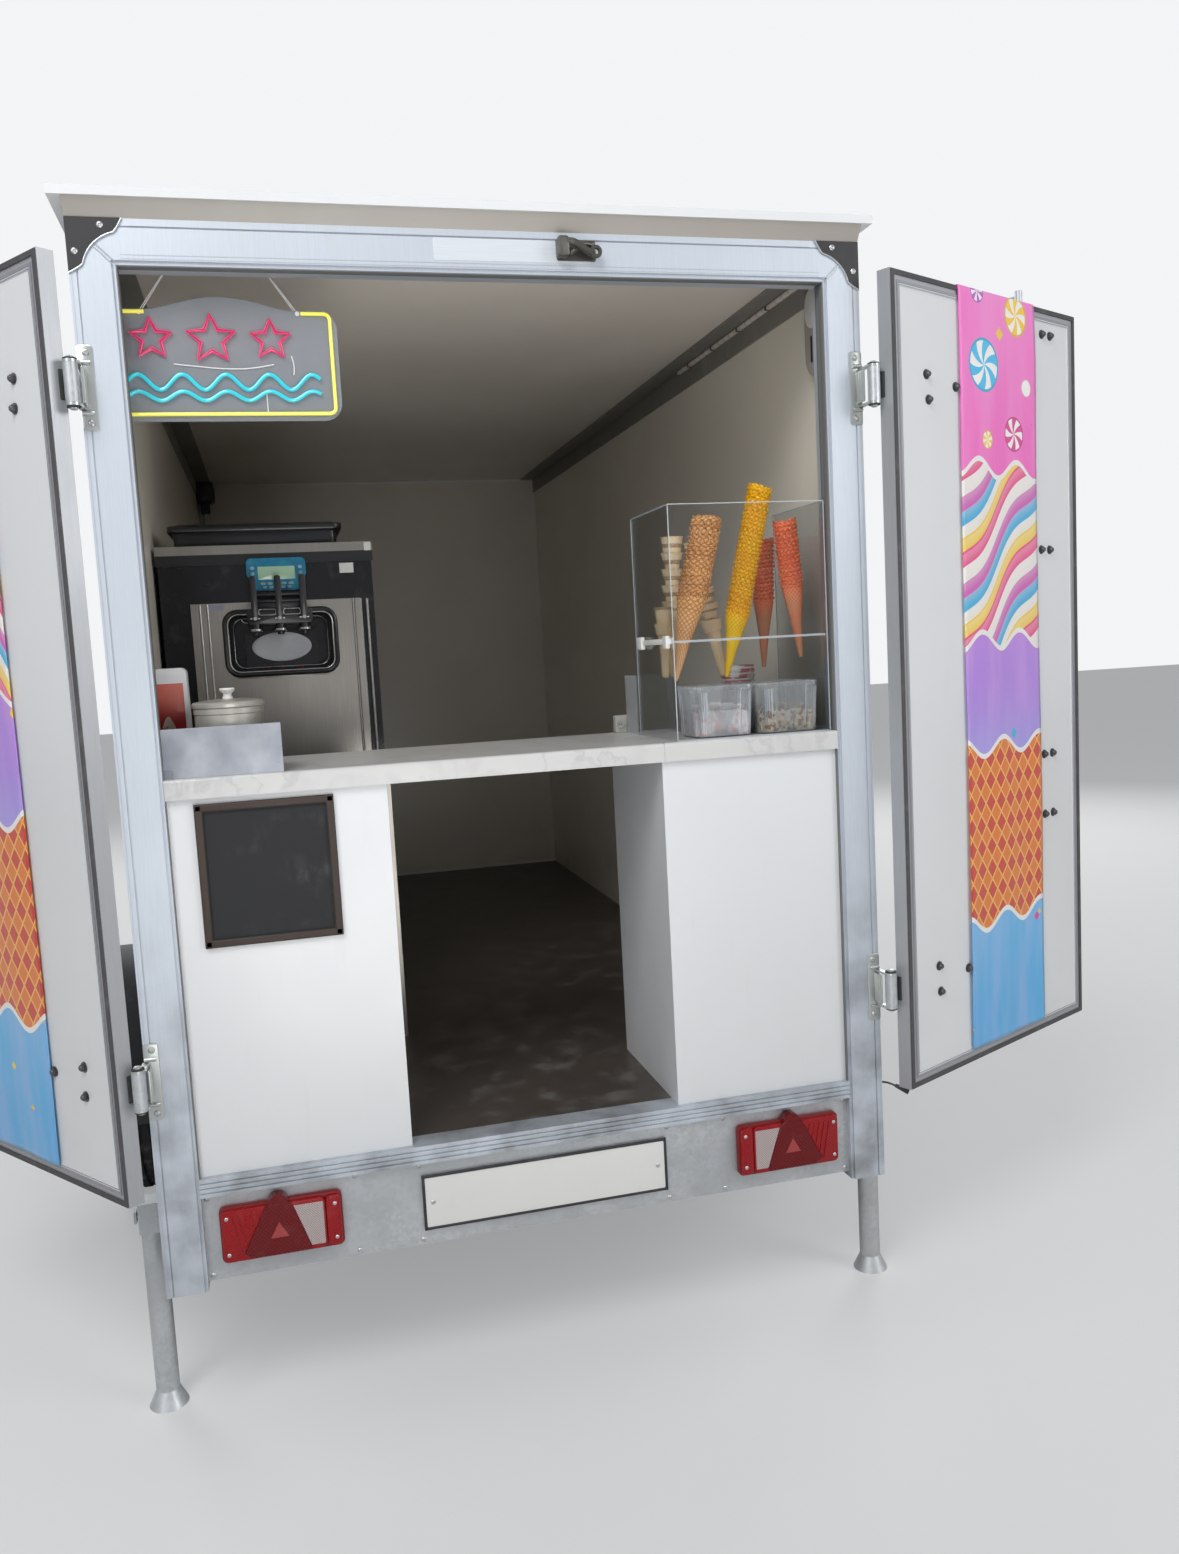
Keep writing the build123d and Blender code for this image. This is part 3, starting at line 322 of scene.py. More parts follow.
# each row: colour, then the values in the order that its paint function takes them
looks = {
    panelPaint: {
        "wallPanel": (finishes["white"], 0.3, finishes["lining"]),
        # the front wall's lining is the walls' lining at 0.8: painted shade at the far end of the box
        "frontPanel": (finishes["white"], 0.3, shade(finishes["lining"], 0.8)),
        "roofPanel": (finishes["white"], 0.1, finishes["ceiling"]),
        "doorPanel": (finishes["white"], 0.1), "cabinetBoard": (finishes["cabinet"], 0.05)},
    metalPaint: {
        # the frame's last value darkens it towards the ground: painted shade with some road dirt
        "frameAlu": (finishes["alu"], 0.46, 0.45, (1, 1, 0.03), 0.08, 0.25, 0, 0.8),
        "rimAlu": (shade(finishes["alu"], 0.85), 0.42, 0.55),
        "profileGrey": ((0.27, 0.26, 0.235), 0.5, 0.15),
        # the door rims' grey: partly their own darker tone, partly painted shade of their shaded sides
        "rimGrey": ((0.47, 0.48, 0.50), 0.4, 0.55),
        "wheelSilver": ((0.55, 0.56, 0.58), 0.36, 0.7, (1, 1, 1), 0.06, 0.3, 0.4),
        "chrome": ((0.46, 0.45, 0.44), 0.2, 1.0, (1, 1, 0.1), 0.04, 0.05),
        "badgeSilver": ((0.62, 0.64, 0.68), 0.5, 0.15, (0.05, 1, 1), 0.05, 0.05),
        "kettleSteel": ((0.44, 0.42, 0.38), 0.34, 0.35, (1, 1, 0.02), 0.08, 0.15),
        "hingeZinc": ((0.60, 0.63, 0.61), 0.3, 0.8, (1, 1, 0.05), 0.25, 0.3),
        "screwSteel": ((0.55, 0.55, 0.55), 0.35, 0.9, (1, 1, 1), 0.06, 0.15),
        "stripGrey": ((0.36, 0.36, 0.39), 0.42, 0.5, (1, 1, 1), 0.06, 0.2),
        "chromeSoft": ((0.66, 0.68, 0.70), 0.3, 0.7, (1, 1, 1), 0.04, 0.1),
        "platePale": ((0.76, 0.80, 0.85), 0.34, 0.3, (0.03, 1, 1), 0.04, 0.05),
        "brassZinc": ((0.11, 0.105, 0.09), 0.4, 0.75, (1, 1, 1), 0.3, 0.3),
        "boardWood": ((0.045, 0.027, 0.019), 0.55, 0.0, (1, 1, 0.05), 0.3, 0.2)},
    galvPaint: {
        "galvanised": (finishes["galv"], 0.35), "galvRough": (shade(finishes["galv"], 0.8), 0.7),
        # the bumper's finish is the galvanised one a little darker: painted shade under the sill
        "galvDull": (shade(finishes["galv"], 0.95), 0.3)},
    plasticPaint: {
        "fasciaAlu": ((0.43, 0.40, 0.36), 0.4, 300, 0.05, 0.15),
        "blackPlastic": (finishes["black"], 0.5, 600, 0.3),
        "capPlastic": (shade(finishes["black"], 0.9), 0.42, 500, 0.2, 0.2),
        "lampRed": ((0.50, 0.012, 0.012), 0.18, 200, 0.1, 0.15, 0.7),
        "lampAmber": ((0.85, 0.30, 0.02), 0.2, 200, 0.1, 0.1, 0.6),
        "lampDark": ((0.20, 0.003, 0.006), 0.4, 300, 0.1, 0.1),
        "blankPlate": ((0.78, 0.78, 0.76), 0.35, 300, 0.05, 0.25),
        "castZinc": ((0.20, 0.205, 0.21), 0.55, 240, 0.5, 0.3, 0, 0.6),
        "enamel": (finishes["enamel"], 0.3, 300, 0.08, 0.08, 0.1),
        "headBlack": (finishes["enamel"], 0.35, 400, 0.1, 0.15, 0.2),
        "whitePlastic": ((0.80, 0.80, 0.78), 0.4, 300, 0.08, 0.2),
        "coreCrimson": ((0.50, 0.01, 0.10), 0.35, 200, 0.05, 0.1),
        "screenGreen": ((0.42, 0.66, 0.46), 0.2, 100, 0.02, 0.1, 0.5),
        "keyBlue": ((0.30, 0.52, 0.60), 0.35, 200, 0.05, 0.1),
        "labelBlue": ((0.30, 0.34, 0.50), 0.4, 200, 0.05, 0.2),
        "socketGrey": ((0.46, 0.45, 0.42), 0.4, 300, 0.08),
        "nutBlack": ((0.05, 0.05, 0.055), 0.28, 300, 0.1, 0.35, 0.4),
        "taupePlastic": ((0.44, 0.41, 0.38), 0.4, 300, 0.1, 0.2),
        "seamGrey": ((0.45, 0.45, 0.44), 0.5, 300, 0.05, 0.2),
        "wheelDark": ((0.10, 0.10, 0.105), 0.5, 200, 0.2, 0.5, 0, 0.4)},
    rubberPaint: {
        "sealRubber": (finishes["rubber"], 0.45), "sealGrey": ((0.085, 0.084, 0.09), 0.5),
        "seamDark": ((0.17, 0.175, 0.18), 0.5), "tyreRubber": (finishes["tyre"], 0.6),
        "bellowsRubber": (finishes["tyre"], 0.35)},
    glassPaint: {
        "clearSheet": ((0.93, 0.96, 0.98), 0.0, 0.32, 0.02, 1),
        "signPlate": ((0.42, 0.45, 0.50), 0.44, 0.8),
        "clearBin": ((0.88, 0.91, 0.97), 0.0, 0.45, 0.03),
        "clearTub": ((0.93, 0.94, 0.97), 0.12, 1.1, 0.1),
        # the case's edge strips: pale, a painted highlight along the cut edges
        "brightEdge": ((0.74, 0.78, 0.82), 0.5, 0.3)},
    lensPaint: {
        "lampLens": ((0.42, 0.001, 0.006), 900, 0.15), "lampDeep": ((0.19, 0.001, 0.004), 700, 0.1),
        "lampClear": ((0.60, 0.50, 0.49), 1200), "lampReflector": ((0.52, 0.05, 0.05), 1800)}}
for makePaint, rows in looks.items():
    for name, values in rows.items():
        makePaint(name, *values)


def marblePaint():
    paint = Paint("worktopStone", coat=0.3, coatRough=0.12)
    warp = paint.noise(2.2, 6)
    place = paint.add("ShaderNodeVectorMath", {"operation": "MULTIPLY_ADD"},
                      [warp, (0.55, 0.55, 0.3), paint.where])
    thin = 1 - paint.noise(3.4, 8, (0.8, 1.8, 1), place).away(0.5).rise(0.0, 0.016)
    faint = 1 - paint.noise(5, 8, (1, 2.6, 1), place).away(0.46).rise(0.0, 0.09)
    cloud = paint.noise(2, 5).rise(0.35, 0.75)
    colour = paint.mix(cloud * 0.35, finishes["marble"], shade(finishes["marble"], 0.9))
    colour = paint.mix(faint * 0.22, colour, shade(finishes["vein"], 1.2))
    colour = paint.mix(thin * 0.32, colour, finishes["vein"])
    paint.set(colour=colour, rough=paint.noise(30, 3) * 0.12 + 0.34)
    paint.bump(paint.noise(150, 2), 0.03, 0.0003)


def plyPaint():
    # film-faced board with a pressed wire pattern and scuffed film
    paint = Paint("floorPly")
    x, y, unused = paint.axes()
    mesh = 7 * millimetre
    pattern = ((x + y) / mesh).part().between(0.12, 0.88) * ((x - y) / mesh).part().between(0.12, 0.88)
    scuffs = paint.noise(13, 6).rise(0.48, 0.72) * 0.45
    colour = paint.mix(scuffs, finishes["ply"], shade(finishes["dust"], 0.5))
    colour = paint.mix(pattern * 0.35, colour, shade(finishes["ply"], 0.6))
    paint.set(colour=colour, rough=scuffs * 0.4 + 0.38)
    paint.bump(pattern, 0.3, 0.0006)


def guardPaint():
    # polished sheet with fine rubbed marks; its cloudy blue-grey mottle is painted reflection of the sky
    paint = Paint("guardSteelReflection")
    cloud = paint.noise(9, 7, (1, 1, 0.6)).rise(0.3, 0.72)
    fine = paint.noise(38, 5).rise(0.35, 0.7)
    # blue-grey cloud: painted reflection
    colour = paint.mix(cloud, (0.23, 0.25, 0.29), (0.42, 0.435, 0.47))
    colour = paint.mix(fine * 0.3, colour, (0.25, 0.265, 0.30))
    paint.set(colour=colour, metal=0.75, rough=cloud * 0.2 + fine * 0.08 + 0.22)
    paint.bump(cloud * 0.6 + fine * 0.3, 0.25, 0.0012)


def fasciaSteelPaint():
    # upright brushed steel, with the lower half of the top band in black; its warm bronze tones in broad vertical
    # bands are painted reflection and shade
    paint = Paint("machineSteel")
    z = paint.axes()[2]
    dark = z.between((1780 - origin["z"]) * millimetre, (1812 - origin["z"]) * millimetre)
    lines = paint.noise(420, 4, (1, 1, 0.02))
    # broad vertical light and dark bands in warm tones: painted reflection and shade
    cloud = paint.noise(2.2, 4, (1.6, 1, 0.5)).rise(0.25, 0.75)
    colour = paint.mix(cloud, (0.40, 0.375, 0.34), (0.25, 0.235, 0.21))
    colour = paint.mix(lines.rise(0.35, 0.65) * 0.3, colour, (0.24, 0.22, 0.20))
    paint.set(colour=paint.mix(dark, colour, finishes["enamel"]), metal=(1 - dark) * 0.92,
              rough=lines * 0.14 + cloud * 0.08 + 0.2)
    paint.bump(lines, 0.12, 0.0004)


def housingPaint():
    # black enamel; the control pod, the only part in front of the housing, is blue
    paint = Paint("housing", specular=0.35)
    pod = paint.axes()[1].under((759.5 - origin["y"]) * millimetre)
    rubbed = paint.noise(16, 6).rise(0.58, 0.74) * 0.15
    black = paint.mix(rubbed, finishes["enamel"], shade(finishes["dust"], 0.25))
    blue = paint.mix(paint.noise(30, 3).rise(0.4, 0.7), (0.02, 0.20, 0.34), (0.03, 0.27, 0.44))
    paint.set(colour=paint.mix(pod, black, blue), rough=paint.noise(22, 4) * 0.16 + 0.17)
    paint.bump(paint.noise(300, 2), 0.08, 0.0004)


def slatePaint():
    # blank board with wiped chalk
    paint = Paint("slateBoard", rough=0.75)
    wiped = paint.noise(7, 6, (1, 1, 2.2)).rise(0.45, 0.8)
    fine = paint.noise(60, 5, (1, 1, 0.4)).rise(0.4, 0.8)
    paint.set(colour=paint.mix(wiped * fine * 0.3, finishes["slate"], (0.20, 0.20, 0.20)))
    paint.bump(paint.noise(350, 3), 0.15, 0.0004)


for makePaint in (marblePaint, plyPaint, guardPaint, fasciaSteelPaint, housingPaint, slatePaint):
    makePaint()

nodePaints = {
    "wallPanel": "wall_left wall_right", "frontPanel": "wall_front", "roofPanel": "roof",
    "doorPanel": "door_panel_left door_panel_right", "frameAlu": "rear_frame edge_profiles",
    "rimGrey": "door_rim_left door_rim_right", "fasciaAlu": "roof_fascia",
    "galvanised": "hinge_brackets lock_keeper lock_rod door_straps_left door_straps_right "
                  "prop_leg_left prop_leg_right jack_sleeve jack_ram jack_fork",
    "galvDull": "bumper_panel", "galvRough": "cross_members drawbar axle",
    "blackPlastic": "mudguard_left mudguard_right machine_levers", "capPlastic": "corner_caps",
    "sealGrey": "door_seal_left door_seal_right", "profileGrey": "ceiling_profiles",
    "sealRubber": "jockey_wheel", "tyreRubber": "tyre_left tyre_right", "bellowsRubber": "overrun_bellows",
    "floorPly": "floor_panel", "worktopStone": "worktop", "cabinetBoard": "cabinet_left cabinet_right",
    "guardSteelReflection": "steel_guard", "machineSteel": "machine_front machine_table", "kettleSteel": "topping_pot",
    "slateBoard": "chalkboard", "lampRed": "tail_lamps", "lampAmber": "marker_lamps",
    "blankPlate": "number_plate", "castZinc": "overrun_unit coupling_head", "housing": "ice_cream_machine",
    "enamel": "hopper_cover", "wheelSilver": "rim_left rim_right", "clearSheet": "cone_display topping_tubs"}
for finish, names in nodePaints.items():
    for name in names.split():
        for slot in nodes[name].material_slots:
            slot.material = paints[finish].material
print("finishes", len(paints))


def about(middle, half):
    return (middle - half, middle + half)


def mirrored(side, x):
    return tuple(sorted((side * x[0], side * x[1])))


def fresh(mesh, before):
    return [vert for vert in mesh.verts if vert not in before]


def edgesOf(verts):
    return {edge for vert in verts for edge in vert.link_edges}


def rounded(mesh, edges, radius, segments=2):
    bmesh.ops.bevel(mesh, geom=list(edges), offset=radius * millimetre, affect="EDGES", segments=segments,
                    profile=0.5, material=-1)


def along(edge, axis):
    return abs((edge.verts[0].co - edge.verts[1].co).normalized()[axis]) > 0.9


def block(mesh, x, y, z, bevel=0.0):
    # box between two corners, with its edges rounded
    low, high = at(x[0], y[0], z[0]), at(x[1], y[1], z[1])
    place = Matrix.Translation((low + high) / 2) @ Matrix.Diagonal((*map(abs, high - low), 1))
    made = bmesh.ops.create_cube(mesh, size=1, matrix=place)
    if bevel:
        rounded(mesh, edgesOf(made["verts"]), bevel)


def roundedBlock(mesh, x, y, z, corner, axis="y", bevel=0.0):
    # box whose four edges along one axis have a larger radius
    before = set(mesh.verts)
    block(mesh, x, y, z)
    number = "xyz".index(axis)
    rounded(mesh, [edge for edge in edgesOf(fresh(mesh, before)) if along(edge, number)], corner, 6)
    if bevel:
        faces = {face for vert in fresh(mesh, before) for face in vert.link_faces}
        rounded(mesh, {edge for face in faces if abs(face.normal[number]) > 0.9 for edge in face.edges}, bevel)


def rod(mesh, start, end, radius, endRadius=None, sides=20):
    start, end = at(*start), at(*end)
    turn = (end - start).to_track_quat("Z", "Y").to_matrix().to_4x4()
    bmesh.ops.create_cone(mesh, cap_ends=True, cap_tris=False, segments=sides, radius1=radius * millimetre,
                          radius2=(radius if endRadius is None else endRadius) * millimetre,
                          depth=(end - start).length, matrix=Matrix.Translation((start + end) / 2) @ turn)


def upright(mesh, x, y, z, radius, sides=20):
    rod(mesh, (x, y, z[0]), (x, y, z[1]), radius, sides=sides)


def turned(mesh, profile, place, steps=28):
    # profile of (radius, height) spun round the local z axis of place
    before = set(mesh.verts)
    verts = [mesh.verts.new((radius * millimetre, 0, height * millimetre)) for radius, height in profile]
    edges = [mesh.edges.new(pair) for pair in zip(verts, verts[1:])]
    bmesh.ops.spin(mesh, geom=verts + edges, cent=(0, 0, 0), axis=(0, 0, 1), angle=2 * pi, steps=steps,
                   use_merge=True, use_duplicate=False)
    bmesh.ops.remove_doubles(mesh, verts=fresh(mesh, before), dist=0.00001)
    made = fresh(mesh, before)
    bmesh.ops.transform(mesh, matrix=place, verts=made)
    return made


def prism(mesh, points, low, high, bevel=0.0):
    # outline of (x, z) pushed from y low to y high
    before = set(mesh.verts)
    face = mesh.faces.new([mesh.verts.new(at(x, low, z)) for x, z in points])
    made = bmesh.ops.extrude_face_region(mesh, geom=[face], use_keep_orig=True)
    moved = [item for item in made["geom"] if isinstance(item, bmesh.types.BMVert)]
    bmesh.ops.translate(mesh, verts=moved, vec=(0, (high - low) * millimetre, 0))
    if bevel:
        rounded(mesh, edgesOf(fresh(mesh, before)), bevel, 1)


def tube(mesh, points, radius, closed=False, smooth=False, sides=3):
    # round bar along points, by a curve that is turned into a mesh
    curve = bpy.data.curves.new("tube", "CURVE")
    curve.dimensions = "3D"
    curve.bevel_depth = radius * millimetre
    curve.bevel_resolution = sides
    curve.use_fill_caps = True
    curve.resolution_u = 6
    spline = curve.splines.new("NURBS" if smooth else "POLY")
    spline.points.add(len(points) - 1)
    for place, point in zip(spline.points, points):
        place.co = (*at(*point), 1)
    spline.use_cyclic_u = closed
    if smooth:
        spline.order_u = 3
        spline.use_endpoint_u = True
    holder = bpy.data.objects.new("tube", curve)
    data = bpy.data.meshes.new_from_object(holder)
    mesh.from_mesh(data)
    bpy.data.objects.remove(holder)
    bpy.data.meshes.remove(data)
    bpy.data.curves.remove(curve)


def finished(mesh, name, finish, slot, body="trailer", smooth=35, replaces=(), place=None, recalc=True):
    if place:
        bmesh.ops.transform(mesh, matrix=place, verts=mesh.verts)
    if recalc:
        bmesh.ops.recalc_face_normals(mesh, faces=mesh.faces)
    data = bpy.data.meshes.new(name)
    mesh.to_mesh(data)
    mesh.free()
    data.materials.append(paints[finish].material)
    if smooth:
        data.shade_smooth()
        data.set_sharp_from_angle(angle=radians(smooth))
    piece = bpy.data.objects.new(name, data)
    bpy.context.scene.collection.objects.link(piece)
    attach(piece, body)
    if replaces:
        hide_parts(*replaces)
    return piece


def fromRows(shape, rows, name, finish, slot, **options):
    # one piece out of like shapes, each row holding the values of one
    mesh = bmesh.new()
    for row in rows:
        shape(mesh, *row)
    return finished(mesh, name, finish, slot, **options)


def facing(axis, way=1):
    # turns the z axis to another axis, towards it or away from it
    return {"x": Matrix.Rotation(way * pi / 2, 4, "Y"), "y": Matrix.Rotation(-way * pi / 2, 4, "X"),
            "z": Matrix.Rotation(0 if way > 0 else pi, 4, "X")}[axis]


def screwHead(mesh, x, y, z, radius=6, height=3):
    # domed head with a hollow, standing out to the rear
    profile = [(0, height * 0.35), (radius * 0.42, height * 0.35), (radius * 0.46, height),
               (radius * 0.8, height * 0.8), (radius, height * 0.3), (radius, 0)]
    turned(mesh, profile, Matrix.Translation(at(x, y, z)) @ facing("y", -1), 16)


hinge = {"x": 787, "y": -42, "right": 206.1, "left": -233}


def parked(side):
    # takes a closed right-hand door piece to where that door stands
    pivot = Matrix.Translation(at(hinge["x"] * side, hinge["y"], 0))
    turn = Matrix.Rotation(radians(hinge["right"] if side > 0 else hinge["left"]), 4, "Z")
    return pivot @ turn @ pivot.inverted() @ Matrix.Diagonal((side, 1, 1, 1))


# cloth banners over the doors
banner = {"left": 200, "width": 320, "bottom": 545, "top": 2284.3, "inner": -6.7, "outer": -44.3,
          "backDrop": 60, "fold": 3, "ripple": 3.6, "drift": 1.6, "calm": 120, "thickness": 1.0,
          "across": 28, "along": 190, "shift": {"right": 1.7, "left": 4.4}}
bannerPrint = {
    "field": [(0.0, (0.06, 0.42, 0.80)), (0.22, (0.12, 0.50, 0.85)), (0.48, (0.46, 0.24, 0.78)),
              (0.72, (0.92, 0.14, 0.56)), (1.0, (0.96, 0.20, 0.62))],
    "haze": (0.90, 0.55, 0.86), "pale": (0.88, 0.86, 0.84), "petal": (0.95, 0.93, 0.90),
    # metres across, up and radius of each sweet, and its colour
    "sweets": [(0.085, 1.70, 0.047, (0.98, 0.62, 0.03)), (0.225, 1.575, 0.060, (0.05, 0.52, 0.85)),
               (0.10, 1.43, 0.040, (0.72, 0.04, 0.30)), (0.245, 1.735, 0.026, (0.50, 0.12, 0.62)),
               (0.045, 1.54, 0.020, (0.95, 0.90, 0.84)), (0.215, 1.41, 0.021, (0.98, 0.62, 0.03))],
    "confetti": [(0.0, (0.90, 0.62, 0.04)), (0.25, (0.75, 0.05, 0.30)), (0.45, (0.05, 0.45, 0.75)),
                 (0.65, (0.88, 0.80, 0.70)), (0.82, (0.35, 0.12, 0.55))],
    "stripes": [(0.0, (0.88, 0.84, 0.80)), (0.18, (0.82, 0.06, 0.26)), (0.36, (0.90, 0.62, 0.05)),
                (0.52, (0.86, 0.82, 0.76)), (0.66, (0.04, 0.42, 0.72)), (0.82, (0.62, 0.10, 0.46))],
    "striped": (0.96, 1.34), "latticed": (0.30, 0.70), "rim": 0.012, "lattice": 0.052,
    "latticeTones": ((0.78, 0.20, 0.02), (0.62, 0.05, 0.03), (0.90, 0.48, 0.10))}


def bannerPaint(name, shift):
    # candy stripes, diamonds and confetti on a field that runs from blue to pink
    art = bannerPrint
    paint = Paint(name, rough=0.42, sheen=0.3)
    uv = paint.layer("cloth")
    u, v, unused = paint.axes(uv)
    across = u * 0.32
    up = v * 1.836
    colour = paint.mix(paint.noise(5, 3, source=uv).rise(0.35, 0.7) * 0.2, paint.ramp(v, art["field"]), art["haze"])

    for left, height, size, tone in art["sweets"]:
        reach = ((across - left).maths("POWER", 2) + (up - height).maths("POWER", 2)).maths("SQRT")
        swirl = (across - left).maths("ARCTAN2", up - height) * (6 / (2 * pi)) + reach * (9 if size > 0.03 else 0)
        disc = paint.mix(swirl.part().over(0.5), tone, art["petal"])
        disc = paint.mix(reach.over(size * 0.9), disc, shade(tone, 0.75))
        colour = paint.mix(reach.under(size), colour, disc)

    spots = paint.add("ShaderNodeCombineXYZ", {}, [across, up, shift])
    near = paint.cells(13, "Distance", spots, "MANHATTAN")
    hue = paint.axes(paint.cells(13, "Color", spots, "MANHATTAN"))
    colour = paint.mix(near.under(0.21) * hue[1].over(0.35), colour, paint.ramp(hue[0], art["confetti"], steps=True))

    def banded(height, limits, pattern):
        rim = art["rim"]
        under = paint.mix(height.between(limits[0] - rim, limits[1] + rim), colour, art["pale"])
        return paint.mix(height.between(*limits), under, pattern)

    slope = (up + across * 0.85 + (across * 26 + shift).sine() * 0.018) * 5.2
    stripes = paint.ramp(slope.part(), art["stripes"], steps=True)
    stripes = paint.mix((slope * 6).part().rise(0.0, 1.0) * 0.22, stripes, (0.95, 0.92, 0.90))
    edge = (across * 39 + 1.2).sine() * 0.02
    colour = banded(up + edge, art["striped"], stripes)

    one = (across * 1.25 + up) / art["lattice"]
    two = (up - across * 1.25) / art["lattice"]
    check = (one.maths("FLOOR") + two.maths("FLOOR")).maths("MODULO", 2).away()
    lines = one.part().under(0.13).maths("MAXIMUM", two.part().under(0.13))
    first, second, bright = art["latticeTones"]
    weave = paint.mix(lines, paint.mix(check, first, second), bright)
    colour = banded(up - edge, art["latticed"], weave)

    threads = (across * 2400).sine() + (up * 2400).sine()
    paint.set(colour=colour)
    paint.bump(threads * 0.04 + paint.noise(7, 4, (1, 1, 0.5)), 0.25, 0.003)


def makeBanner(side, door):
    name = f"banner_{door}Cloth"
    bannerPaint(name, banner["shift"][door])
    mesh = bmesh.new()
    mesh.loops.layers.uv.new("cloth")
    bmesh.ops.create_grid(mesh, x_segments=banner["across"], y_segments=banner["along"], size=0.5, calc_uvs=True)
    front = banner["top"] - banner["bottom"]
    over = banner["inner"] - banner["outer"]
    total = front + over + banner["backDrop"]
    for vert in mesh.verts:
        u, v = vert.co.x + 0.5, vert.co.y + 0.5
        run = v * total
        x = banner["left"] + u * banner["width"]
        if run < front:
            y, z = banner["inner"], banner["bottom"] + run
            hang = min(1, (front - run) / banner["calm"])
            fall = 0.5 + 0.5 * sin(u * 11 + 1.3 * sin(run * 0.004) + side)
            swell = 0.5 + 0.5 * sin(run * 0.011 + u * 3 + side * 2)
            y += banner["ripple"] * hang * (0.35 * fall + 0.25 * swell + 0.4 * fall * (1 - run / front))
            x += banner["drift"] * sin(run * 0.006 + side) * hang
        elif run < front + over:
            y, z = banner["inner"] - (run - front), banner["top"]
        else:
            y, z = banner["outer"], banner["top"] - (run - front - over)
        near = min(abs(run - front), abs(run - front - over))
        if near < banner["fold"]:
            z -= (banner["fold"] - near) * 0.3
        vert.co = at(x, y, z)
    piece = finished(mesh, name, name, "banner_cloth", f"door_{door}", smooth=60, replaces=[f"banner_{door}"],
                     place=parked(side), recalc=False)
    thick = piece.modifiers.new("thick", "SOLIDIFY")
    thick.thickness = banner["thickness"] * millimetre
    thick.offset = 0


makeBanner(1, "right")
makeBanner(-1, "left")
print("banners made")


# hanging light sign: arched plate with light tubes, hung on two pairs of wires
sign = {"middle": -527, "half": 220, "bottom": 2005, "shoulder": 2214, "arch": 24, "hump": 128, "steps": 16,
        "front": 80, "back": 85, "corner": 34, "tube": 4.2, "border": 3.6, "margin": 13, "bend": 26,
        "stars": ((-655, 38), (-545, 46), (-435, 38)), "starHeight": 2158, "starWaist": 0.46, "core": 1.3,
        "waves": ((0, 15), (26, 9)), "waveStart": -706, "waveStep": 8, "waveHeight": 2078,
        "wire": 0.9, "wireY": 82, "wireFoot": (146, 2208), "wireHead": (60, 2332),
        # half width, half depth, height and corner of a ceiling plate, then y ends and radius of a pin
        "ceilingPlate": (7, 6, (2330, 2334), 3), "pin": (77, 88, 4.5),
        "dropLead": ((-450, 78.6, 2022), (-450, 78.6, 2060), 1.1),
        # points of a thin lead, and its radius
        "leads": (([(-618, 78.6, 2112), (-560, 78.6, 2106), (-520, 78.6, 2103), (-470, 78.6, 2104),
                    (-432, 78.6, 2112)], 1.3),
                  ([(-398, 78.6, 2128), (-392, 78.6, 2108), (-396, 78.6, 2092)], 1.2)),
        # colour and strength of each light tube
        "lights": {"glowYellow": ((0.90, 0.84, 0.12), 0.42), "glowPink": ((0.84, 0.045, 0.19), 0.4),
                   "glowCyan": ((0.035, 0.56, 0.66), 0.42)}}


def makeSignPlate():
    middle, half, steps = sign["middle"], sign["half"], sign["steps"]
    low, high = sign["bottom"], sign["shoulder"]
    crown = [(middle + sign["hump"] * (1 - 2 * step / steps), high + sign["arch"] * sin(pi * step / steps) ** 1.3)
             for step in range(steps + 1)]
    mesh = bmesh.new()
    prism(mesh, [(middle - half, low), (middle + half, low), (middle + half, high)] + crown
          + [(middle - half, high)], sign["front"], sign["back"])
    side = (half - 0.5) * millimetre
    corners = [edge for edge in mesh.edges
               if along(edge, 1) and abs(edge.verts[0].co.x - at(middle, 0, 0).x) > side]
    rounded(mesh, corners, sign["corner"], 8)
    finished(mesh, "signPlate", "signPlate", "neon", replaces=["light_sign"])


def makeSignTubes():
    middle, bend = sign["middle"], sign["bend"]
    left, right = about(middle, sign["half"] - sign["margin"])
    low, high = sign["bottom"] + sign["margin"], sign["shoulder"] - 6
    path = [(left + 70, high), (left + bend, high), (left, high), (left, high - bend), (left, low + bend),
            (left, low), (left + bend, low), (right - bend, low), (right, low), (right, low + bend),
            (right, high - bend), (right, high), (right - bend, high), (right - 55, high)]
    border = bmesh.new()
    tube(border, [(x, sign["front"] - sign["border"], z) for x, z in path], sign["border"], smooth=True)
    finished(border, "signBorderTube", "glowYellow", "neon")

    y = sign["front"] - sign["tube"]
    stars, cores, waves = bmesh.new(), bmesh.new(), bmesh.new()
    for place, size in sign["stars"]:
        points = []
        for corner in range(10):
            reach = size if corner % 2 == 0 else size * sign["starWaist"]
            angle = corner * pi / 5
            points.append((place + reach * sin(angle), y, sign["starHeight"] + reach * cos(angle)))
        tube(stars, points, sign["tube"], closed=True)
        tube(cores, [(px, py - sign["tube"] + 0.5, pz) for px, py, pz in points], sign["core"], closed=True)
    finished(stars, "signStarTubes", "glowPink", "neon")
    for drop, height in sign["waves"]:
        wave = [(sign["waveStart"] + step * sign["waveStep"], y,
                 sign["waveHeight"] - drop + height * sin(step * 0.62)) for step in range(46)]
        tube(waves, wave, sign["tube"] * 0.9, smooth=True)
    finished(waves, "signWaveTubes", "glowCyan", "neon")
    finished(cores, "signStarCores", "coreCrimson", "neon")


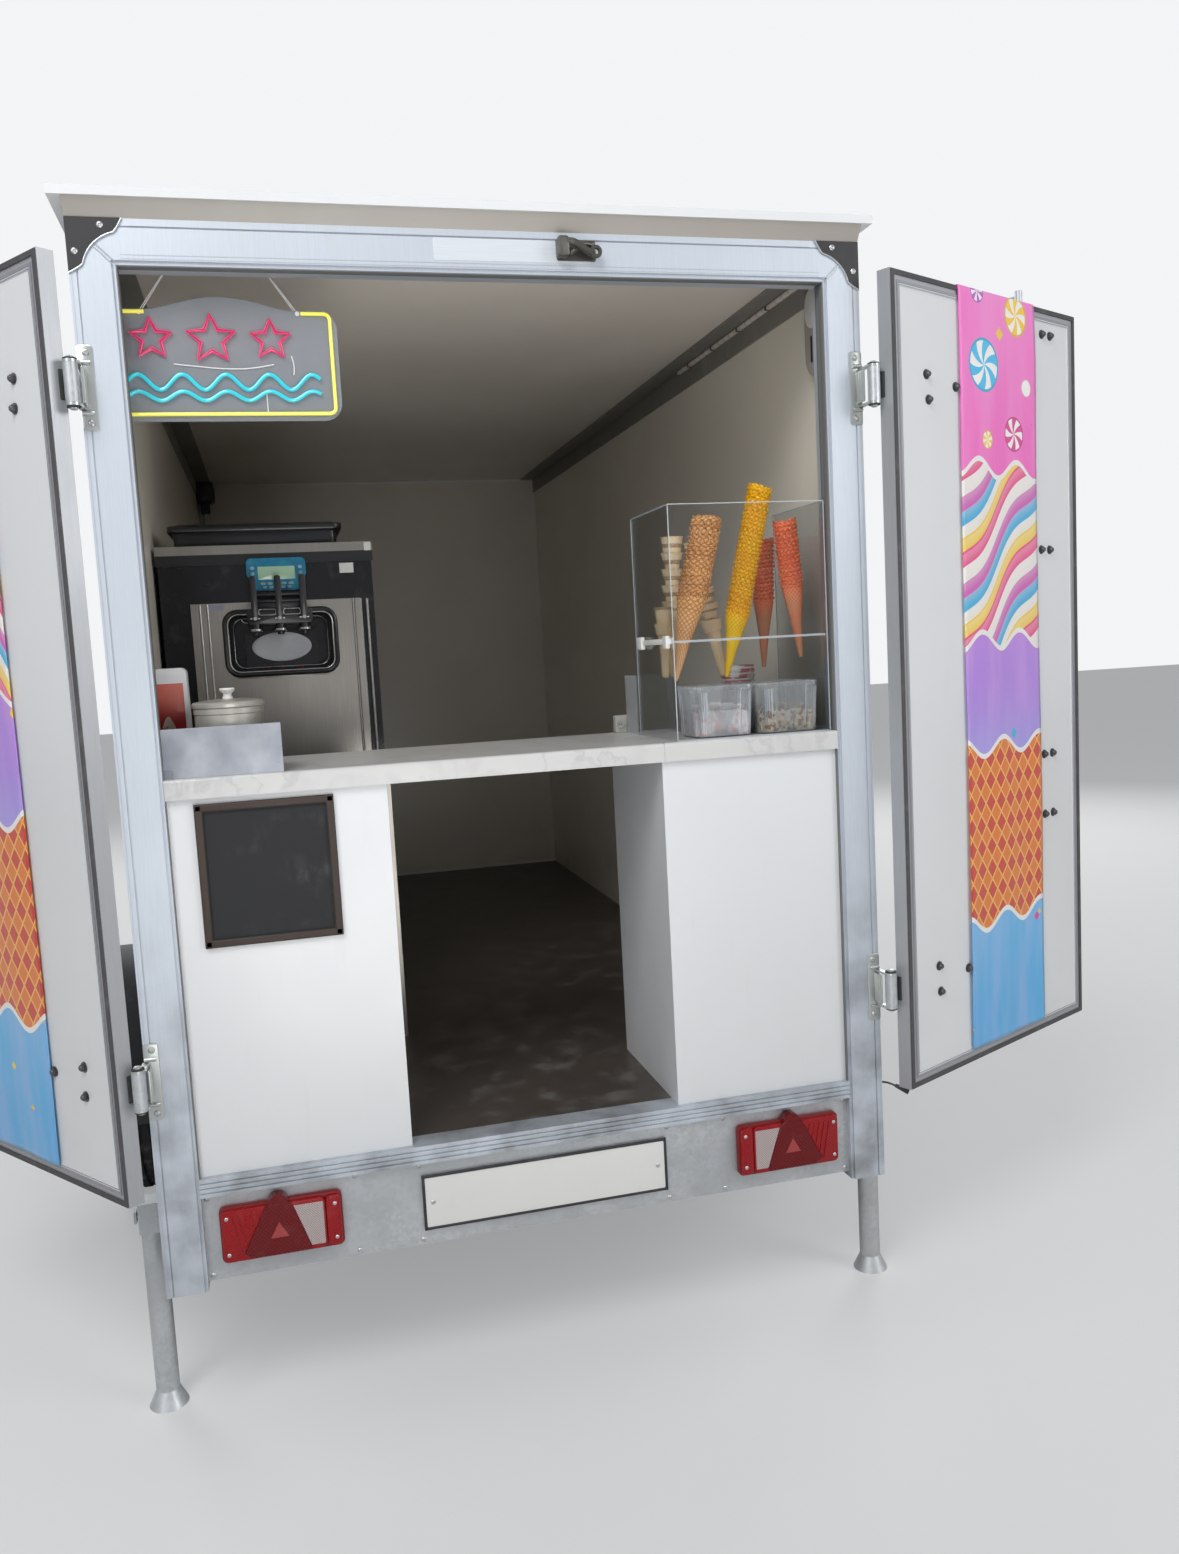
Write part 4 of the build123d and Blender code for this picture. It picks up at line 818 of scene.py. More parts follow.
def makeSignWires():
    wires = bmesh.new()
    y = sign["wireY"]
    (footReach, footHeight), (headReach, headHeight) = sign["wireFoot"], sign["wireHead"]
    halfX, halfY, height, corner = sign["ceilingPlate"]
    start, end, radius = sign["pin"]
    for side in (-1, 1):
        foot, head = sign["middle"] + side * footReach, sign["middle"] + side * headReach
        for low, high in ((foot - 2, head), (foot + 2, head + 1)):
            rod(wires, (low, y, footHeight), (high, y, headHeight), sign["wire"], sides=8)
        roundedBlock(wires, about(head, halfX), about(y, halfY), height, corner, "z")
        rod(wires, (foot, start, footHeight), (foot, end, footHeight), radius, sides=14)
    for points, radius in sign["leads"]:
        tube(wires, points, radius, smooth=True, sides=2)
    rod(wires, *sign["dropLead"], sides=8)
    finished(wires, "signWires", "whitePlastic", "neon")


for name, (colour, power) in sign["lights"].items():
    light = Paint(name, rough=0.3, coat=0.4, glow=(*colour, 1), glowPower=power)
    light.set(colour=light.mix(light.noise(60, 2), shade(colour, 0.95), shade(colour, 0.75)))
makeSignPlate()
makeSignTubes()
makeSignWires()
print("sign made")


# soft-serve machine: what its plain solids lack
machine = {"middle": -455.5, "opening": ((-587, -324), (1515, 1665)),
           # inset at the sides, foot and head, then y, corner and radius of each loop
           "gasket": ((-4, -4, -4), 753, 31, 6),
           "chromeLoops": (((3, 3, 3), 753, 26, 2.4), ((15, 13, 12), 792, 24, 1.6)),
           "trims": ((-661, 4.5), (-646, 3.2), (-628, 3.2), (-271, 3.2), (-252, 3.2), (-236, 4.5)),
           "trimY": 756.5, "trimHeight": (1240, 1690),
           "ringHeights": ((1498, 1509), (1671, 1676)), "ringX": (-581, -330), "ringY": (756, 758.4),
           # the ribs' count, first place and step, then y, height and radius
           "ribs": 7, "ribStart": -233, "ribStep": 2.4, "rib": (756.6, (1811, 1832), 0.9),
           # x, y, z, corner, axis, bevel
           "cover": [((-698, -298), (800, 1320), (1834, 1878), 16, "z", 1),
                     ((-712, -284), (786, 1334), (1872, 1888), 22, "z", 3),
                     ((-694, -302), (804, 1316), (1886, 1892), 18, "z", 2)]}
drawHead = {
    # half width, y, z, corner, axis, bevel
    "block": (79, (708, 830), (1634, 1672), 8, "y", 2), "hood": (60, (714, 748), (1672, 1700), 3),
    "lever": ((8, (690, 704), (1646, 1752), 6, "y", 1.5), (5, (703, 716), (1652, 1686), 3, "y", 1)),
    "bars": ((59, (693, 703), (1686, 1694), 3, "x", 0.5), (59, (693, 703), (1702, 1710), 3, "x", 0.5)),
    "levers": (-59, 0, 59), "spoutY": 720, "spoutFoot": 1608, "collarFoot": 1616,
    "spout": [(0, 0), (8, 0), (9, 4), (9, 12), (12.5, 14), (12.5, 28), (0, 28)],
    "collar": [(9, 0), (14, 0), (16, 2), (16, 7), (14, 9), (9, 9), (9, 0)],
    # left ends, width, height, y, corner and radius of the wire loops
    "loops": (-50, 9), "loopWidth": 41, "loopHeight": (1656, 1670), "loopY": 695, "loopCorner": 5, "wire": 1.8,
    "boltHeight": 1648, "boltY": 697, "boltHalf": 12, "boltRadius": 3, "headY": (689, 690.5), "headRadius": 4.5,
    "hose": [(-92, 738, 1650), (-92, 712, 1650), (-90, 710, 1640), (-79, 710, 1638)], "hoseRadius": 2}


def loopPath(x, z, y, corner):
    points = []
    for cx, cz, start in ((x[1] - corner, z[1] - corner, 0), (x[0] + corner, z[1] - corner, 90),
                          (x[0] + corner, z[0] + corner, 180), (x[1] - corner, z[0] + corner, 270)):
        for step in range(6):
            angle = radians(start + step * 18)
            points.append((cx + corner * cos(angle), y, cz + corner * sin(angle)))
    return points


def openingLoop(mesh, inset, y, corner, radius):
    (left, right), (low, high) = machine["opening"]
    side, foot, head = inset
    tube(mesh, loopPath((left + side, right - side), (low + foot, high - head), y, corner), radius, closed=True)


def makeMachineTrims():
    fromRows(openingLoop, [machine["gasket"]], "recessGasket", "enamel", "black_enamel")
    chrome = bmesh.new()
    for values in machine["chromeLoops"]:
        openingLoop(chrome, *values)
    for x, radius in machine["trims"]:
        upright(chrome, x, machine["trimY"], machine["trimHeight"], radius, 12)
    finished(chrome, "machineTrims", "chrome", "stainless")


def makeDrawHead():
    # block, three spouts and levers, and the bars that join them
    head, bars = bmesh.new(), bmesh.new()
    middle, spoutY, boltY, bolt = machine["middle"], drawHead["spoutY"], drawHead["boltY"], drawHead["boltHeight"]

    def centred(shape, half, *rest, x=middle):
        shape(head, about(x, half), *rest)

    centred(roundedBlock, *drawHead["block"])
    centred(block, *drawHead["hood"])
    for shift in drawHead["levers"]:
        x = middle + shift
        turned(head, drawHead["spout"], Matrix.Translation(at(x, spoutY, drawHead["spoutFoot"])), 20)
        for values in drawHead["lever"]:
            centred(roundedBlock, *values, x=x)
    for values in drawHead["bars"]:
        centred(roundedBlock, *values)
    finished(head, "drawHead", "headBlack", "black_plastic", replaces=["machine_levers"])

    for shift in drawHead["loops"]:
        left = middle + shift
        path = loopPath((left, left + drawHead["loopWidth"]), drawHead["loopHeight"], drawHead["loopY"],
                        drawHead["loopCorner"])
        tube(bars, path, drawHead["wire"], closed=True)
    for shift in drawHead["levers"]:
        x = middle + shift
        turned(bars, drawHead["collar"], Matrix.Translation(at(x, spoutY, drawHead["collarFoot"])), 24)
        low, high = about(x, drawHead["boltHalf"])
        rod(bars, (low, boltY, bolt), (high, boltY, bolt), drawHead["boltRadius"], sides=12)
        start, end = ((x, y, bolt) for y in drawHead["headY"])
        rod(bars, start, end, drawHead["headRadius"], sides=12)
    tube(bars, [(middle + x, y, z) for x, y, z in drawHead["hose"]], drawHead["hoseRadius"], smooth=True)
    finished(bars, "leverBars", "chrome", "black_plastic")


# screen and keys of the control pod
pod = {"screen": (45, (732.5, 735), (1745, 1777), 2, "y", 0.5), "keyY": (732.8, 735), "keyBevel": 0.4,
       # shifts from the middle, half width, foot, height and corner of the keys
       "keys": (((-34, -17, 0, 17, 34), 6, 1732, 6, 2.5), ((-30, -15, 0, 15, 30), 5, 1723, 6, 2.5),
                ((-58, 58), 5, 1756, 8, 3.5), ((-58, 58), 5, 1770, 8, 3.5))}


def makePod():
    middle = machine["middle"]
    half, *rest = pod["screen"]
    fromRows(roundedBlock, [(about(middle, half), *rest)], "podScreen", "screenGreen", "black_enamel")
    keys = [(about(middle + shift, half), pod["keyY"], (foot, foot + height), corner, "y", pod["keyBevel"])
            for shifts, half, foot, height, corner in pod["keys"] for shift in shifts]
    fromRows(roundedBlock, keys, "podKeys", "keyBlue", "black_enamel")


# blank oval badge with the reach and rise of its profile, the lenses under it, and two blank labels
badges = {"place": (-455.5, 800, 1579), "reach": (74, 37),
          "profile": [(0, 2.4), (0.86, 2.4), (0.89, 3.0), (0.96, 3.0), (1, 2.2), (1, 0), (0, 0)],
          "lenses": [((x, x + 18), (798.5, 801), (1524, 1529), 2, "y", 0.4) for x in (-506.5, -464.5, -422.5)],
          "labels": {"fasciaLabel": ("whitePlastic", (-299, -264), (759.4, 760.5), (1757, 1782)),
                     "plateLabel": ("labelBlue", (-624, -590), (756.5, 757.5), (1676, 1687))}}


def makeBadges():
    badge = bmesh.new()
    place = Matrix.Translation(at(*badges["place"])) @ facing("y", -1)
    turned(badge, badges["profile"], place @ Matrix.Diagonal((*badges["reach"], 1, 1)), 48)
    finished(badge, "ovalBadge", "badgeSilver", "stainless", smooth=25)
    fromRows(roundedBlock, badges["lenses"], "recessLenses", "lampRed", "lamp_red")
    for name, (finish, *values) in badges["labels"].items():
        fromRows(block, [values], name, finish, "plate_white", smooth=0)


def makeHopper():
    # cover with a flared rim, ribs at the band's end, and the steel that narrows the opening at foot and head
    fromRows(roundedBlock, machine["cover"], "hopperCover", "enamel", "black_enamel", body="hopper_lid",
             replaces=["hopper_cover"])
    ribs = bmesh.new()
    for index in range(machine["ribs"]):
        upright(ribs, machine["ribStart"] + index * machine["ribStep"], *machine["rib"], 8)
    finished(ribs, "bandRibs", "chrome", "stainless")
    fromRows(block, [(machine["ringX"], machine["ringY"], z, 0.5) for z in machine["ringHeights"]],
             "recessRing", "machineSteel", "stainless", smooth=25)


makeMachineTrims()
makeDrawHead()
makePod()
makeBadges()
makeHopper()
print("machine made")


# stacks of cones in the display
cones = {"shelf": 1536, "pitch": 36,
         # tip x, tip y, top x, drop under the shelf, length of the lowest cone, radius, rims, make
         "stacks": [(365, 95, 456, 86, 178, 34, 5, "waffle"), (486, 105, 585, 85, 134, 28, 8, "lemon"),
                    (666, 105, 637, 50, 160, 27, 4, "orange"), (618, 205, 628, 70, 148, 25, 4, "orange"),
                    (515, 200, 456, 84, 132, 26, 5, "wafer"), (365, 165, 368, 80, 120, 23, 1, "wafer"),
                    (401, 215, 411, 81, 135, 27, 5, "wafer")],
         # base, tip and blush colours, lattice turns, its strength, rim pitch, how dark the painted shade at the rims
         # is, lattice rise
         "waffle": ("waffleStack", (0.92, 0.50, 0.19), (0.90, 0.52, 0.25), (0.60, 0.22, 0.06), 13, 0.9, 9, 0.2, 85),
         "lemon": ("lemonStack", (1.0, 0.60, 0.0), (1.0, 0.66, 0.0), (0.95, 0.33, 0.0), 16, 0.7, 9, 0.3, 100),
         "orange": ("orangeStacks", (1.0, 0.29, 0.12), (0.62, 0.32, 0.16), (0.95, 0.12, 0.04), 16, 0.6, 9, 0.3, 100),
         "wafer": ("waferStacks", (0.97, 0.80, 0.56), (0.95, 0.74, 0.46), (0.72, 0.46, 0.24), 18, 0.35, 36, 0.6, 120)}


def coneProfile(taper, radius, rims, make):
    # outline of a nested stack, from its tip to the open mouth of its last cone
    mouth = radius - 3
    if make == "wafer":
        points = [(0, 0), (5, 0.5), (8, 5), (mouth * 0.62, taper * 0.62), (mouth * 0.70, taper * 0.66),
                  (mouth * 0.72, taper * 0.78), (mouth * 0.9, taper * 0.8), (radius - 1, taper - 2), (radius, taper)]
        for index in range(rims):
            low = taper + index * cones["pitch"]
            points += [(mouth * 0.66, low + 1), (mouth * 0.72, low + 12), (mouth * 0.72 + 2, low + 14),
                       (radius - 2.5, low + cones["pitch"] - 3), (radius, low + cones["pitch"])]
    else:
        points = [(0, 0), (4.5, 1), (5.2, 6), (mouth * 0.5, taper * 0.48), (mouth, taper - 3), (mouth + 1, taper)]
        pitch = cones["pitch"] / 4
        for index in range(rims * 4):
            low = taper + index * pitch
            lip = radius - (0, 1.1, 0.3, 1.6)[index % 4]
            points += [(lip - 4.4, low + 0.4), (lip - 3.0, low + pitch * 0.5), (lip, low + pitch - 1.2),
                       (lip, low + pitch)]
    top = taper + rims * cones["pitch"]
    return points + [(radius - 2, top), (radius - 6, top - 30), (radius * 0.5, top - 70), (0, top - 78)]


def wrapRound(stack, layer):
    # turns round the stack as u and metres from its tip as v
    for face in {face for vert in stack for face in vert.link_faces}:
        turns = [atan2(loop.vert.co.y, loop.vert.co.x) / (2 * pi) for loop in face.loops]
        if max(turns) - min(turns) > 0.5:
            turns = [turn + 1 if turn < 0 else turn for turn in turns]
        for loop, turn in zip(face.loops, turns):
            loop[layer].uv = (turn, loop.vert.co.z)


def bake(stack, taper, wobble):
    # uneven walls and ragged rims of hand-rolled cones
    phase = wobble.random() * 6
    for vert in stack:
        angle = atan2(vert.co.y, vert.co.x)
        height = vert.co.z * 1000
        if height > taper * 0.3:
            swell = 1 + 0.02 * sin(angle * 3 + phase + height * 0.02) + 0.012 * sin(angle * 7 + height * 0.3)
            vert.co.x *= swell
            vert.co.y *= swell
        if height > taper:
            teeth = 0.0019 * sin(angle * 13 + phase + floor((height - taper) / cones["pitch"] * 4) * 2.2)
            ragged = wobble.uniform(-0.001, 0.001) + 0.0022 * sin(angle * 2 + phase) + teeth
            vert.co.z += ragged
            vert.co.x *= 1 + ragged * 9
            vert.co.y *= 1 + ragged * 9


def makeCones():
    groups = {}
    for tipX, tipY, topX, drop, taper, radius, rims, make in cones["stacks"]:
        mesh = groups.setdefault(make, bmesh.new())
        layer = mesh.loops.layers.uv.get("round") or mesh.loops.layers.uv.new("round")
        stack = turned(mesh, coneProfile(taper, radius, rims, make), Matrix.Identity(4), 40)
        wrapRound(stack, layer)
        if make != "wafer":
            bake(stack, taper, Random(tipX))
        lean = Matrix.Rotation(atan2(topX - tipX, taper + rims * cones["pitch"]), 4, "Y")
        place = Matrix.Translation(at(tipX, tipY, cones["shelf"] - drop))
        bmesh.ops.transform(mesh, matrix=place @ lean, verts=stack)
    for make, mesh in groups.items():
        name = cones[make][0]
        conePaint(*cones[make])
        finished(mesh, name, name, "waffle", smooth=22, replaces=["cones"])


def conePaint(name, base, tip, blush, lattice, strength, pitch, rimShade, grain):
    # baked wafer with a lattice that follows the cone, darker in its grooves, partly from the bake and partly as
    # painted shade
    paint = Paint(name, rough=0.6, under=0.05)
    u, v, unused = paint.axes(paint.layer("round"))
    one, two = ((u * turns + v * grain).part().away(0.5).rise(0.3, 0.5) for turns in (lattice, -lattice))
    ridge = one.maths("MAXIMUM", two)
    colour = paint.mix(v.rise(0.10, 0.17), tip, base)
    colour = paint.mix(paint.noise(22, 5).rise(0.3, 0.7) * 0.4, colour, shade(blush, 0.95))
    colour = paint.mix(ridge * strength, colour, shade(blush, 0.62))
    # dark line at each rim, where one cone sits in the next: painted shade
    lips = ((v - 0.002) / (pitch * millimetre)).part().under(0.25) * v.over(0.15)
    speckled = paint.noise(420, 2).rise(0.45, 0.6)
    colour = paint.mix(lips * (speckled * 0.5 + 0.35) * (rimShade / 0.35), colour, shade(blush, 0.5))
    paint.set(colour=colour)
    paint.bump((1 - ridge) * 0.8 + (1 - lips) * 0.8 + paint.noise(240, 3) * 0.4, 0.6, 0.0018)


makeCones()
print("cones made")


# ribbed tubs of toppings
tubs = {"foot": 1324, "height": 112, "depth": (38, 178), "taper": 5, "wall": 2.2, "segments": 96,
        "squareness": 0.32, "rib": 2.4, "clearance": 7.5, "floor": 4, "crown": 14, "corner": 6,
        # height, whether ribbed, and how far inside the outline
        "rings": ((3, False, 0.5), (8, True, 0.5), (98, True, 0.5), (104, False, 0.5), (108, False, 0),
                  (112, False, 0)),
        # middle, width, contents, how full, bits, smallest and largest bit
        "places": ((457, 140, "whiteBits", 0.42, 210, (4.5, 8)), (609, 144, "crumbs", 0.36, 210, (2.5, 5.5))),
        # three tones and the scale of the contents
        "whiteBits": ((0.85, 0.80, 0.78), (0.85, 0.62, 0.62), (0.88, 0.86, 0.84), 95),
        "crumbs": ((0.62, 0.50, 0.36), (0.30, 0.16, 0.09), (0.74, 0.66, 0.52), 150)}


def tubRing(verts, middle, width, height, ribbed, inside):
    # places one level of a tub's wall on a rounded square, with a rib at every other corner
    centre = sum(tubs["depth"]) / 2
    part = height / tubs["height"]
    for index, vert in enumerate(verts):
        angle = 2 * pi * index / tubs["segments"]
        spot = []
        for half, share in ((width / 2, cos(angle)), ((tubs["depth"][1] - tubs["depth"][0]) / 2, sin(angle))):
            reach = half - tubs["taper"] * (1 - part) - inside
            if ribbed and index % 2:
                reach -= tubs["rib"]
            spot.append(reach * abs(share) ** tubs["squareness"] * (1 if share >= 0 else -1))
        vert.co = at(middle + spot[0], centre + spot[1], tubs["foot"] + height)


def makeTubs():
    shell = bmesh.new()
    for middle, width, *unused in tubs["places"]:
        made = bmesh.ops.create_circle(shell, cap_ends=True, radius=1, segments=tubs["segments"])
        edges = list(edgesOf(made["verts"]))
        tubRing(made["verts"], middle, width, 0.4, False, 4)
        for height, ribbed, inside in tubs["rings"]:
            geometry = bmesh.ops.extrude_edge_only(shell, edges=edges)["geom"]
            verts = [item for item in geometry if isinstance(item, bmesh.types.BMVert)]
            edges = [item for item in geometry if isinstance(item, bmesh.types.BMEdge)
                     and item.verts[0] in verts and item.verts[1] in verts]
            tubRing(verts, middle, width, height, ribbed, inside)
    piece = finished(shell, "ribbedTubs", "clearTub", "clear_tub", smooth=8, replaces=["topping_tubs"])
    thick = piece.modifiers.new("thick", "SOLIDIFY")
    thick.thickness = tubs["wall"] * millimetre
    thick.offset = -1


def makeToppings():
    for middle, width, contents, fill, bits, sizes in tubs["places"]:
        dice = Random(int(middle))
        heap = bmesh.new()
        low = tubs["foot"] + tubs["floor"]
        centre = sum(tubs["depth"]) / 2
        halfX, halfY = width / 2 - tubs["clearance"], 70 - tubs["clearance"]
        level = low + tubs["height"] * fill
        bmesh.ops.create_cube(heap, size=2)
        bmesh.ops.subdivide_edges(heap, edges=heap.edges, cuts=9, use_grid_fill=True)
        for vert in heap.verts:
            x, y, z = vert.co
            height = low
            if z > 0:
                bulge = 1 - 0.5 * (abs(x) ** 3 + abs(y) ** 3)
                height = level + tubs["crown"] * bulge + dice.uniform(-3, 3)
            if abs(z) <= 0.99:
                height = low + (level - tubs["foot"]) * (z * 0.5 + 0.5)
            cut = tubs["corner"] if abs(x) > 0.9 and abs(y) > 0.9 else 0
            vert.co = at(middle + x * (halfX - cut), centre + y * (halfY - cut), height)
        for index in range(bits):
            x, y = dice.uniform(-0.92, 0.92), dice.uniform(-0.92, 0.92)
            bulge = 1 - 0.5 * (abs(x) ** 3 + abs(y) ** 3)
            size = dice.uniform(*sizes) * millimetre
            turn = Matrix.Rotation(dice.uniform(0, 6), 4, "X") @ Matrix.Rotation(dice.uniform(0, 6), 4, "Z")
            place = Matrix.Translation(at(middle + x * halfX, centre + y * halfY,
                                          level + tubs["crown"] * bulge + dice.uniform(-2, 4)))
            bmesh.ops.create_cone(heap, cap_ends=True, segments=6, radius1=size * 0.5, radius2=size * 0.45,
                                  depth=size * 1.2, matrix=place @ turn)
        bitsPaint(contents, *tubs[contents])
        finished(heap, contents, contents, "clear_tub", smooth=30)


def bitsPaint(name, one, two, three, scale):
    paint = Paint(name, rough=0.7, under=0.08)
    tone = paint.axes(paint.cells(scale))[0]
    paint.set(colour=paint.ramp(tone, [(0.0, one), (0.45, two), (0.8, three)], steps=True))
    paint.bump(paint.noise(300, 3), 0.3, 0.001)


makeTubs()
makeToppings()


# what stands in and by the display: clip, pale strips of painted highlight along the cut edges of the case, paper
# cups, open bin and socket block
display = {
    # x, y, z, corner, axis, bevel
    "clip": [((330, 345), (36, 250), (1530, 1542), 3, "y", 1), ((327, 336), (36, 60), (1521, 1548), 3, "y", 1),
             ((327, 336), (214, 252), (1521, 1549), 3, "y", 1)],
    # y and z of the painted highlight strips along the edges at each side, then those along the edges across
    "sides": (338, 690), "sideEdgeHighlights": (((17.4, 19.6), (1324, 1820)), ((286.4, 288.2), (1324, 1820)),
                                       ((19.6, 286.4), (1818.4, 1820.4))),
    "edges": [((339.0, 689.0), (17.4, 18.8), (1818.4, 1820.4)), ((340.5, 687.5), (21.6, 22.8), (1531.6, 1536.4)),
              ((339.4, 688.6), (17.6, 19.6), (1324, 1326))],
    "bin": [((334, 440), (294, 296), (1324, 1462)), ((334, 440), (390, 392), (1324, 1462)),
            ((334, 336), (296, 390), (1324, 1462)), ((438, 440), (296, 390), (1324, 1462))],
    "socket": ((308, 352), (396, 420), (1324, 1366), 6, "y", 2), "outlets": (320, 341), "outletHeight": 1345,
    "outlet": [(0, -1), (7.5, -1), (7.5, 1.6), (9, 1.6), (9, 0), (9.6, 0)]}
paperCups = {"x": 560, "y": 225, "foot": 1326, "radius": 40, "wall": 56, "rims": 7, "pitch": 13}


def makeDisplayExtras():
    fromRows(roundedBlock, display["clip"], "shelfClip", "whitePlastic", "acrylic")
    # pale strips along the case's cut edges: painted highlight
    edges = [(about(x, 1), *rest) for x in display["sides"] for rest in display["sideEdgeHighlights"]]
    fromRows(block, edges + display["edges"], "displayEdgeHighlights", "brightEdge", "acrylic", smooth=0)
    makeCups()
    fromRows(block, display["bin"], "clearBin", "clearBin", "acrylic", smooth=0)
    socket, holes = bmesh.new(), bmesh.new()
    roundedBlock(socket, *display["socket"])
    z = display["outletHeight"]
    for x in display["outlets"]:
        turned(socket, display["outlet"], Matrix.Translation(at(x, 395.8, z)) @ facing("y", -1), 24)
        for shift in (-3, 3):
            rod(holes, (x + shift, 394.4, z), (x + shift, 398, z), 1.4, sides=10)
    finished(socket, "socketBlock", "socketGrey", "cabinet_white")
    finished(holes, "socketHoles", "headBlack", "black_plastic")


def makeCups():
    cups = bmesh.new()
    radius, wall, pitch = paperCups["radius"], paperCups["wall"], paperCups["pitch"]
    profile = [(0, 0), (28, 0), (radius - 3, wall)]
    for index in range(paperCups["rims"]):
        low = wall + index * pitch
        profile += [(radius, low), (radius + 0.8, low + 1.6), (radius, low + 3), (radius - 3, low + 3.4),
                    (radius - 2.4, low + pitch - 0.5)]
    top = wall + paperCups["rims"] * pitch
    profile += [(radius, top), (radius - 2, top + 1), (radius - 6, top - 30), (0, top - 46)]
    turned(cups, profile, Matrix.Translation(at(paperCups["x"], paperCups["y"], paperCups["foot"])), 36)
    finished(cups, "paperCups", "cupPaper", "clear_tub")


def cupPaint():
    paint = Paint("cupPaper", rough=0.5)
    z = paint.axes()[2]
    ring = ((z + 0.004) / 0.013).part().under(0.3)
    printed = paint.noise(40, 2).rise(0.45, 0.55) * 0.8
    colour = paint.mix(printed, (0.80, 0.78, 0.76), (0.55, 0.05, 0.06))
    paint.set(colour=paint.mix(ring, colour, (0.82, 0.80, 0.78)))
    paint.bump(paint.noise(200, 2), 0.08, 0.0004)


cupPaint()
makeDisplayExtras()
print("display made")


# kettle and carton of sauce on the left of the counter
pot = {"x": -572, "y": 92, "foot": 1324, "radius": 66, "height": 132, "handle": 24,
       "carton": ((-718, -652), (176, 226), (1324, 1536), 12, "y", 2)}


def makePot():
    x, y, foot, r, h = (pot[key] for key in ("x", "y", "foot", "radius", "height"))
    place = Matrix.Translation(at(x, y, foot))
    body, handle, knob = bmesh.new(), bmesh.new(), bmesh.new()
    turned(body, [(0, 0), (r - 6, 0), (r - 2, 3), (r, 8), (r, h - 16), (r + 1.5, h - 14), (r + 1.5, h - 4),
                  (r, h - 2), (0, h - 2)], place, 48)
    turned(body, [(0, h - 2), (r + 3, h - 2), (r + 4, h), (r + 4, h + 6), (r + 1, h + 9), (r - 16, h + 12),
                  (22, h + 14), (0, h + 14)], place, 48)
    finished(body, "sauceKettle", "kettleSteel", "stainless", replaces=["topping_pot"])
    side = pot["handle"]
    tube(handle, [(x - side, y - r - 1.5, foot + 26), (x - side, y - r - 9, foot + 28),
                  (x + side, y - r - 9, foot + 28), (x + side, y - r + 5, foot + 26)], 3, smooth=True)
    finished(handle, "kettleHandle", "whitePlastic", "stainless")
    turned(knob, [(0, h + 13), (10, h + 13), (10, h + 17), (8, h + 20), (8, h + 24), (13, h + 28), (15, h + 32),
                  (14, h + 35), (0, h + 35)], place, 28)
    finished(knob, "kettleKnob", "whitePlastic", "stainless")
    fromRows(roundedBlock, [pot["carton"]], "sauceCarton", "cartonPaper", "plate_white")


def cartonPaint():
    # blank carton with a red wave across it
    paint = Paint("cartonPaper", rough=0.4, coat=0.2)
    x, y, z = paint.axes()
    inside = x.between(-0.712, -0.660) * z.between(0.90, 1.075) * y.under(-4.16)
    wave = (z - 0.985 + (x * 90).sine() * 0.006).rise(0.0, 0.07)
    art = paint.mix(wave, (0.42, 0.012, 0.02), (0.66, 0.16, 0.12))
    swirl = (z * 60 + (x * 120).sine() * 1.4).sine().over(0.55) * z.between(0.945, 1.01)
    paint.set(colour=paint.mix(inside, (0.80, 0.81, 0.83), paint.mix(swirl, art, (0.82, 0.62, 0.56))))
    paint.bump(paint.noise(60, 3), 0.08, 0.001)


cartonPaint()
makePot()
print("counter things made")


# hinges, nuts and screws; the doors' own are given as on the closed right door
hardware = {"heights": (743, 2050), "plate": (752, 780), "half": 76, "ear": (35.3, 40.3), "knuckle": 13,
            "cheek": (767.2, 771), "cheekY": (-34, -1), "cheekHalf": 33,
            "creases": (-26, -17, -8), "creaseHalf": 30, "creaseRadius": 1.3,
            "plateY": (-3, 0), "earX": (771, 783), "earY": (-42, -1), "pinHalf": 36, "pinRadius": 5,
            # x ends, lift and radius of the gussets, then x, lift, radius and height of the screws
            "gusset": ((757, 779), 45, 4.5), "screw": (764, 63, 6.5, 3.2),
            "pad": ((764.4, 766.6), (-43, -30)), "padHalf": 27, "boltY": -47, "doorFace": -12,
            "cap": [(0, 0), (11.5, 0), (12.5, 1.2), (12.5, 2.6), (11, 3.4), (0, 3.4)],
            "button": [(0, 3.4), (8, 3.4), (8, 5), (5, 7), (0, 7.4)],
            "bolts": {743: [(646, 773), (642, 713), (528, 743)], 2050: [(641, 2079), (635, 2026), (530, 2063)]},
            "rightNuts": [(119, 2222), (157, 2222), (133, 1711), (172, 1711), (133, 1210), (172, 1210),
                          (133, 1060), (172, 1060)],
            # left, right, foot and head of the door, then inset, width and rise of each strip
            "door": (3, 765, 515, 2283), "strips": ((21.5, 5.5, 1.4), (30, 1.4, 0.6))}


def domeNut(mesh, x, y, z, radius=8):
    # hexagon nut with a dome and a washer, standing to the front
    turn = Matrix.Translation(at(x, y, z)) @ facing("y")
    turned(mesh, [(0, 1.5), (radius * 1.35, 1.5), (radius * 1.35, 0)], turn, 20)
    bmesh.ops.create_cone(mesh, cap_ends=True, segments=6, radius1=radius * millimetre, radius2=radius * millimetre,
                          depth=0.005, matrix=Matrix.Translation(at(x, y + 4, z)) @ facing("y"))
    turned(mesh, [(radius * 0.82, 6), (radius * 0.8, 8), (radius * 0.55, 10.5), (0, 11.4)], turn, 16)


